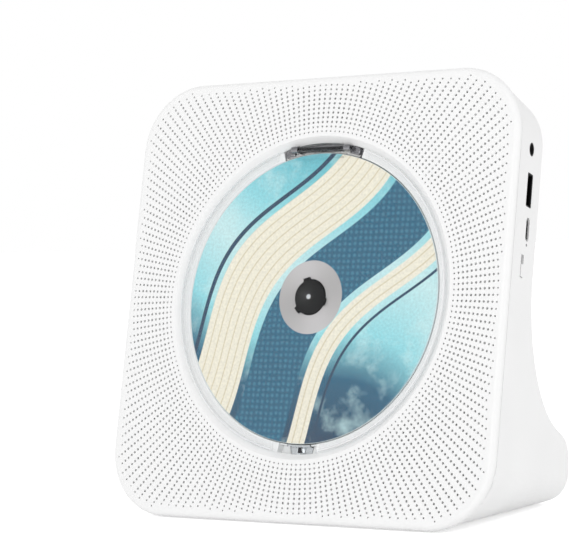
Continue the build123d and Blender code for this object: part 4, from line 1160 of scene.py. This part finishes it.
@dataclass
class DiscCover:
    """Clear cover with its hinge barrel, and the steel insert that the catch holds; the insert's dark face is
    a painted reflection, the dark band seen across the chrome catch.
    """

    insert_half: float = 1.3
    insert_low: float = -63.5
    insert_high: float = -61.15
    insert_front: float = -5.4
    insert_back: float = -6.1
    insert_edge: float = 0.15

    def window(self) -> bpy.types.Object:
        """Copy the cover, so that its dome is one smooth surface."""
        cover = link("cover_window", node_mesh("clear_cover"))
        return settle(cover, CLEAR_COVER, "clear_cover", ["clear_cover"], level=False)

    def insert(self) -> bpy.types.Object:
        """Build the steel insert in the cover's stub, darkened as a painted reflection of the dark band
        across the catch.

        Returns:
            The piece.
        """
        first = Vector((-self.insert_half, self.insert_low, self.insert_back))
        last = Vector((self.insert_half, self.insert_high, self.insert_front))
        place = Matrix.Translation((first + last) / 2) @ Matrix.Diagonal((last - first).to_4d())
        work = bmesh.new()
        bmesh.ops.create_cube(work, size=1.0, matrix=place)
        bmesh.ops.bevel(work, geom=work.edges[:], offset=self.insert_edge, segments=2, affect="EDGES")
        # the insert's darkened nickel is a painted reflection: the dark band across the chrome catch
        return settle(finish_mesh("catch_insert", work), PAINTED_DARK_NICKEL, "clear_cover")

    def build(self) -> None:
        """Build both pieces."""
        self.window()
        self.insert()


@dataclass
class HingeArc:
    """Glossy arc at the hinge with rounded edges, wings beside its ears and a pale lip below them."""

    edge_round: float = 0.35
    segments: int = 2
    inner: float = 60.9
    outer: float = 64.05
    wing_start: float = 14.5
    wing_stop: float = 18.4
    wing_corner: float = 1.8
    wing_front: float = -2.35
    wing_back: float = -4.6
    lip_inner: float = 60.3
    lip_outer: float = 61.3
    lip_front: float = -2.95
    lip_half: float = 18.2

    def arc(self) -> bpy.types.Object:
        """Add the wings to a copy of the bracket, round its edges and put it in place of its node.

        Returns:
            The piece.
        """
        start, stop = (math.degrees(math.asin(half / self.outer))
                       for half in (self.wing_start, self.wing_stop))
        profile = ((self.inner, self.wing_back), (self.outer, self.wing_back),
                   (self.outer, self.wing_front), (self.inner, self.wing_front))
        work = bmesh.new()
        work.from_mesh(node_mesh("hinge_bracket"))
        arc_solid(work, profile, 90.0 - stop, 90.0 - start, 4)
        arc_solid(work, profile, 90.0 + start, 90.0 + stop, 4)
        self.round_wings(work)
        arc = finish_mesh("hinge_arc", work)
        rounding = arc.modifiers.new("edges", "BEVEL")
        rounding.width, rounding.segments = self.edge_round, self.segments
        rounding.limit_method, rounding.angle_limit = "ANGLE", math.radians(35.0)
        rounding.harden_normals = False
        evaluated(arc)
        return settle(arc, SMOKED, "case", ["hinge_bracket"], crease=60.0)

    def round_wings(self, work: bmesh.types.BMesh) -> None:
        """Round the outer corner of each wing.

        Args:
            work: Mesh that holds the two wings.
        """
        reach, rim = self.wing_stop - 0.05, self.outer - 0.05
        corners = [edge for edge in work.edges
                   if all(abs(vert.co.x) > reach and math.hypot(vert.co.x, vert.co.y) > rim
                          for vert in edge.verts)]
        bmesh.ops.bevel(work, geom=corners, offset=self.wing_corner, segments=4, profile=0.5,
                        affect="EDGES")

    def lip(self) -> bpy.types.Object:
        """Build the lip that closes the gap between the arc and the disc.

        Returns:
            The piece.
        """
        half = math.degrees(math.asin(self.lip_half / self.lip_outer))
        work = bmesh.new()
        arc_solid(work, ((self.lip_inner, self.wing_back), (self.lip_outer, self.wing_back),
                         (self.lip_outer, self.lip_front), (self.lip_inner, self.lip_front)),
                  90.0 - half, 90.0 + half, 16)
        return settle(finish_mesh("hinge_lip", work), NICKEL, "case")

    def build(self) -> None:
        """Build both pieces."""
        self.arc()
        self.lip()


@dataclass
class SocketBezels:
    """Black liners between the sockets and the outer face of the side wall."""

    taper: float = 9.5
    reach: float = 0.93
    start: float = 0.02
    wall: float = 0.55
    outward: float = 0.2
    jack_collar: float = 5.0
    usb_a_width: float = 13.1
    usb_a_thickness: float = 5.7
    usb_a_corner: float = 0.5
    corner_steps: int = 5

    def outline(self, width: float, thickness: float, corner: float) -> list[tuple[float, float]]:
        """Rounded rectangle about the origin.

        Args:
            width: Size up the face.
            thickness: Size along the depth.
            corner: Radius of the corners.

        Returns:
            Places up the face and along the depth.
        """
        points = []
        for quarter in range(4):
            up = (width / 2 - corner) * (1.0 if quarter in (0, 3) else -1.0)
            deep = (thickness / 2 - corner) * (1.0 if quarter in (0, 1) else -1.0)
            for step in range(self.corner_steps + 1):
                angle = math.radians(90.0 * (quarter + step / self.corner_steps))
                points.append((up + corner * math.cos(angle), deep + corner * math.sin(angle)))
        return points

    def liner(self, name: str, node: str, width: float, thickness: float, corner: float) -> bpy.types.Object:
        """Build the liner of one socket.

        Args:
            name: Name of the liner.
            node: Node of the socket.
            width: Size of the socket's mouth up the face.
            thickness: Size of the mouth along the depth.
            corner: Radius of its corners.

        Returns:
            The liner.
        """
        low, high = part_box(node)
        centre = Vector(((low[0] + high[0]) / 2, (low[1] + high[1]) / 2, (low[2] + high[2]) / 2))
        centre = FACE.matrix().inverted() @ centre
        mouth = high[0] / MILLIMETRE
        outer = self.outline(width + 2 * self.outward, thickness + 2 * self.outward, corner + self.outward)
        growth = 2 * (self.outward - self.wall)
        inner = self.outline(width + growth, thickness + growth,
                             max(corner + self.outward - self.wall, 0.05))
        work = bmesh.new()
        loops = []
        for ring, front in ((outer, False), (outer, True), (inner, True), (inner, False)):
            loop = []
            for up, deep in ring:
                slant = deep * math.tan(math.radians(self.taper))
                x = mouth + (self.reach + slant if front else self.start)
                loop.append(work.verts.new((x, centre.y + up, centre.z + deep)))
            loops.append(loop)
        for first, second in zip(loops, loops[1:] + loops[:1]):
            for index in range(len(first)):
                follow = (index + 1) % len(first)
                work.faces.new((first[index], first[follow], second[follow], second[index]))
        return settle(finish_mesh(name, work), SOCKET_BLACK, "case")

    def build(self) -> None:
        """Build the liners of the headphone jack and the flat socket."""
        round_corner = self.jack_collar / 2 - 0.01
        self.liner("jack_bezel", "aux_jack", self.jack_collar, self.jack_collar, round_corner)
        self.liner("usb_a_bezel", "usb_a_shell", self.usb_a_width, self.usb_a_thickness, self.usb_a_corner)


@dataclass
class Studio:
    """Pale floor, soft lamps and the camera, in metres, degrees and watts.

    A lamp has a name, a place, a diameter and a power.
    """

    place: tuple[float, float, float] = (0.5274, -0.8192, 0.1253)
    heading: float = 34.28
    pitch: float = -1.347
    roll: float = -1.806
    lens: float = 148.0
    sensor: float = 36.0
    floor_size: float = 12.0
    floor_colour: str = "#f2f2f2"
    floor_glow: float = 0.6
    sky_low: float = 1.0
    sky_high: float = 0.62
    lamps: tuple[tuple[str, tuple[float, float, float], float, float], ...] = (
        ("key", (0.2, -2.5, 0.8), 1.8, 14.0),
        ("fill", (2.2, -0.4, 0.6), 1.6, 6.0),
        ("back", (-0.6, 1.8, 1.7), 1.5, 0.8),
    )
    aim: tuple[float, float, float] = (0.0, 0.0, 0.09)

    def camera(self) -> None:
        """Place the camera."""
        data = bpy.data.cameras.new("camera")
        data.lens, data.sensor_width, data.clip_start = self.lens, self.sensor, 0.01
        thing = bpy.data.objects.new("camera", data)
        bpy.context.scene.collection.objects.link(thing)
        turn = (Matrix.Rotation(math.radians(self.heading), 4, "Z")
                @ Matrix.Rotation(math.radians(90.0 + self.pitch), 4, "X")
                @ Matrix.Rotation(math.radians(self.roll), 4, "Z"))
        thing.matrix_world = Matrix.Translation(self.place) @ turn
        bpy.context.scene.camera = thing

    def lights(self) -> None:
        """Place the soft lamps, each turned towards the player."""
        for name, place, size, power in self.lamps:
            data = bpy.data.lights.new(name, "AREA")
            data.shape, data.size, data.energy = "DISK", size, power
            thing = bpy.data.objects.new(name, data)
            bpy.context.scene.collection.objects.link(thing)
            turn = (Vector(place) - Vector(self.aim)).to_track_quat("Z", "Y")
            thing.matrix_world = Matrix.Translation(place) @ turn.to_matrix().to_4x4()

    def sky(self) -> None:
        """Light the scene softly, a little less from above, and show white behind it."""
        world = bpy.data.worlds.new("studio")
        world.use_nodes = True
        tree = world.node_tree
        tree.nodes.clear()
        path = add_node(tree, "ShaderNodeLightPath").outputs
        seen = add_node(tree, "ShaderNodeMath", path["Is Camera Ray"], path["Is Transmission Ray"],
                        operation="MAXIMUM")
        place = add_node(tree, "ShaderNodeTexCoord")
        split = add_node(tree, "ShaderNodeSeparateXYZ", place.outputs["Generated"])
        soft = add_node(tree, "ShaderNodeMapRange", split.outputs["Z"], 0.0, 1.0,
                        self.sky_low, self.sky_high)
        level = add_node(tree, "ShaderNodeMapRange", seen, 0.0, 1.0, soft, 1.0)
        white = add_node(tree, "ShaderNodeBackground", (1.0, 1.0, 1.0, 1.0), level)
        add_node(tree, "ShaderNodeOutputWorld", white)
        bpy.context.scene.world = world

    def floor(self) -> None:
        """Lay a pale floor that shows white and keeps the player's shadow."""
        mesh = bpy.data.meshes.new("floor")
        reach = self.floor_size / 2
        corners = [(-reach, -reach, 0.0), (reach, -reach, 0.0), (reach, reach, 0.0), (-reach, reach, 0.0)]
        mesh.from_pydata(corners, [], [(0, 1, 2, 3)])
        thing = link("floor", mesh)
        made = bpy.data.materials.new("painted studio floor")
        made.use_nodes = True
        tree = made.node_tree
        tree.nodes.clear()
        path = add_node(tree, "ShaderNodeLightPath").outputs
        seen = add_node(tree, "ShaderNodeMath", path["Is Camera Ray"], path["Is Glossy Ray"],
                        operation="MAXIMUM")
        glow = add_node(tree, "ShaderNodeMapRange", seen, 0.0, 1.0, 0.0, self.floor_glow)
        shader = add_node(tree, "ShaderNodeBsdfPrincipled",
                          named={"Base Color": linear(self.floor_colour), "Roughness": 0.9,
                                 "Specular IOR Level": 0.0, "Emission Color": (1.0, 1.0, 1.0, 1.0),
                                 "Emission Strength": glow})
        add_node(tree, "ShaderNodeOutputMaterial", shader)
        mesh.materials.append(made)

    def build(self) -> None:
        """Set up the whole studio."""
        self.camera()
        self.lights()
        self.sky()
        self.floor()
        bpy.context.scene.view_settings.view_transform = "Standard"


def main() -> None:
    """Build the player, dress it and set up the studio."""
    logging.basicConfig(level=logging.INFO, format="%(name)s: %(message)s")
    Studio().build()
    dress_all_nodes()
    for assembly in (FrontShell(), RearHousing(), DiscBay(), HingeArc(), DiscCover(), SocketBezels()):
        assembly.build()


if __name__ == "__main__":
    main()
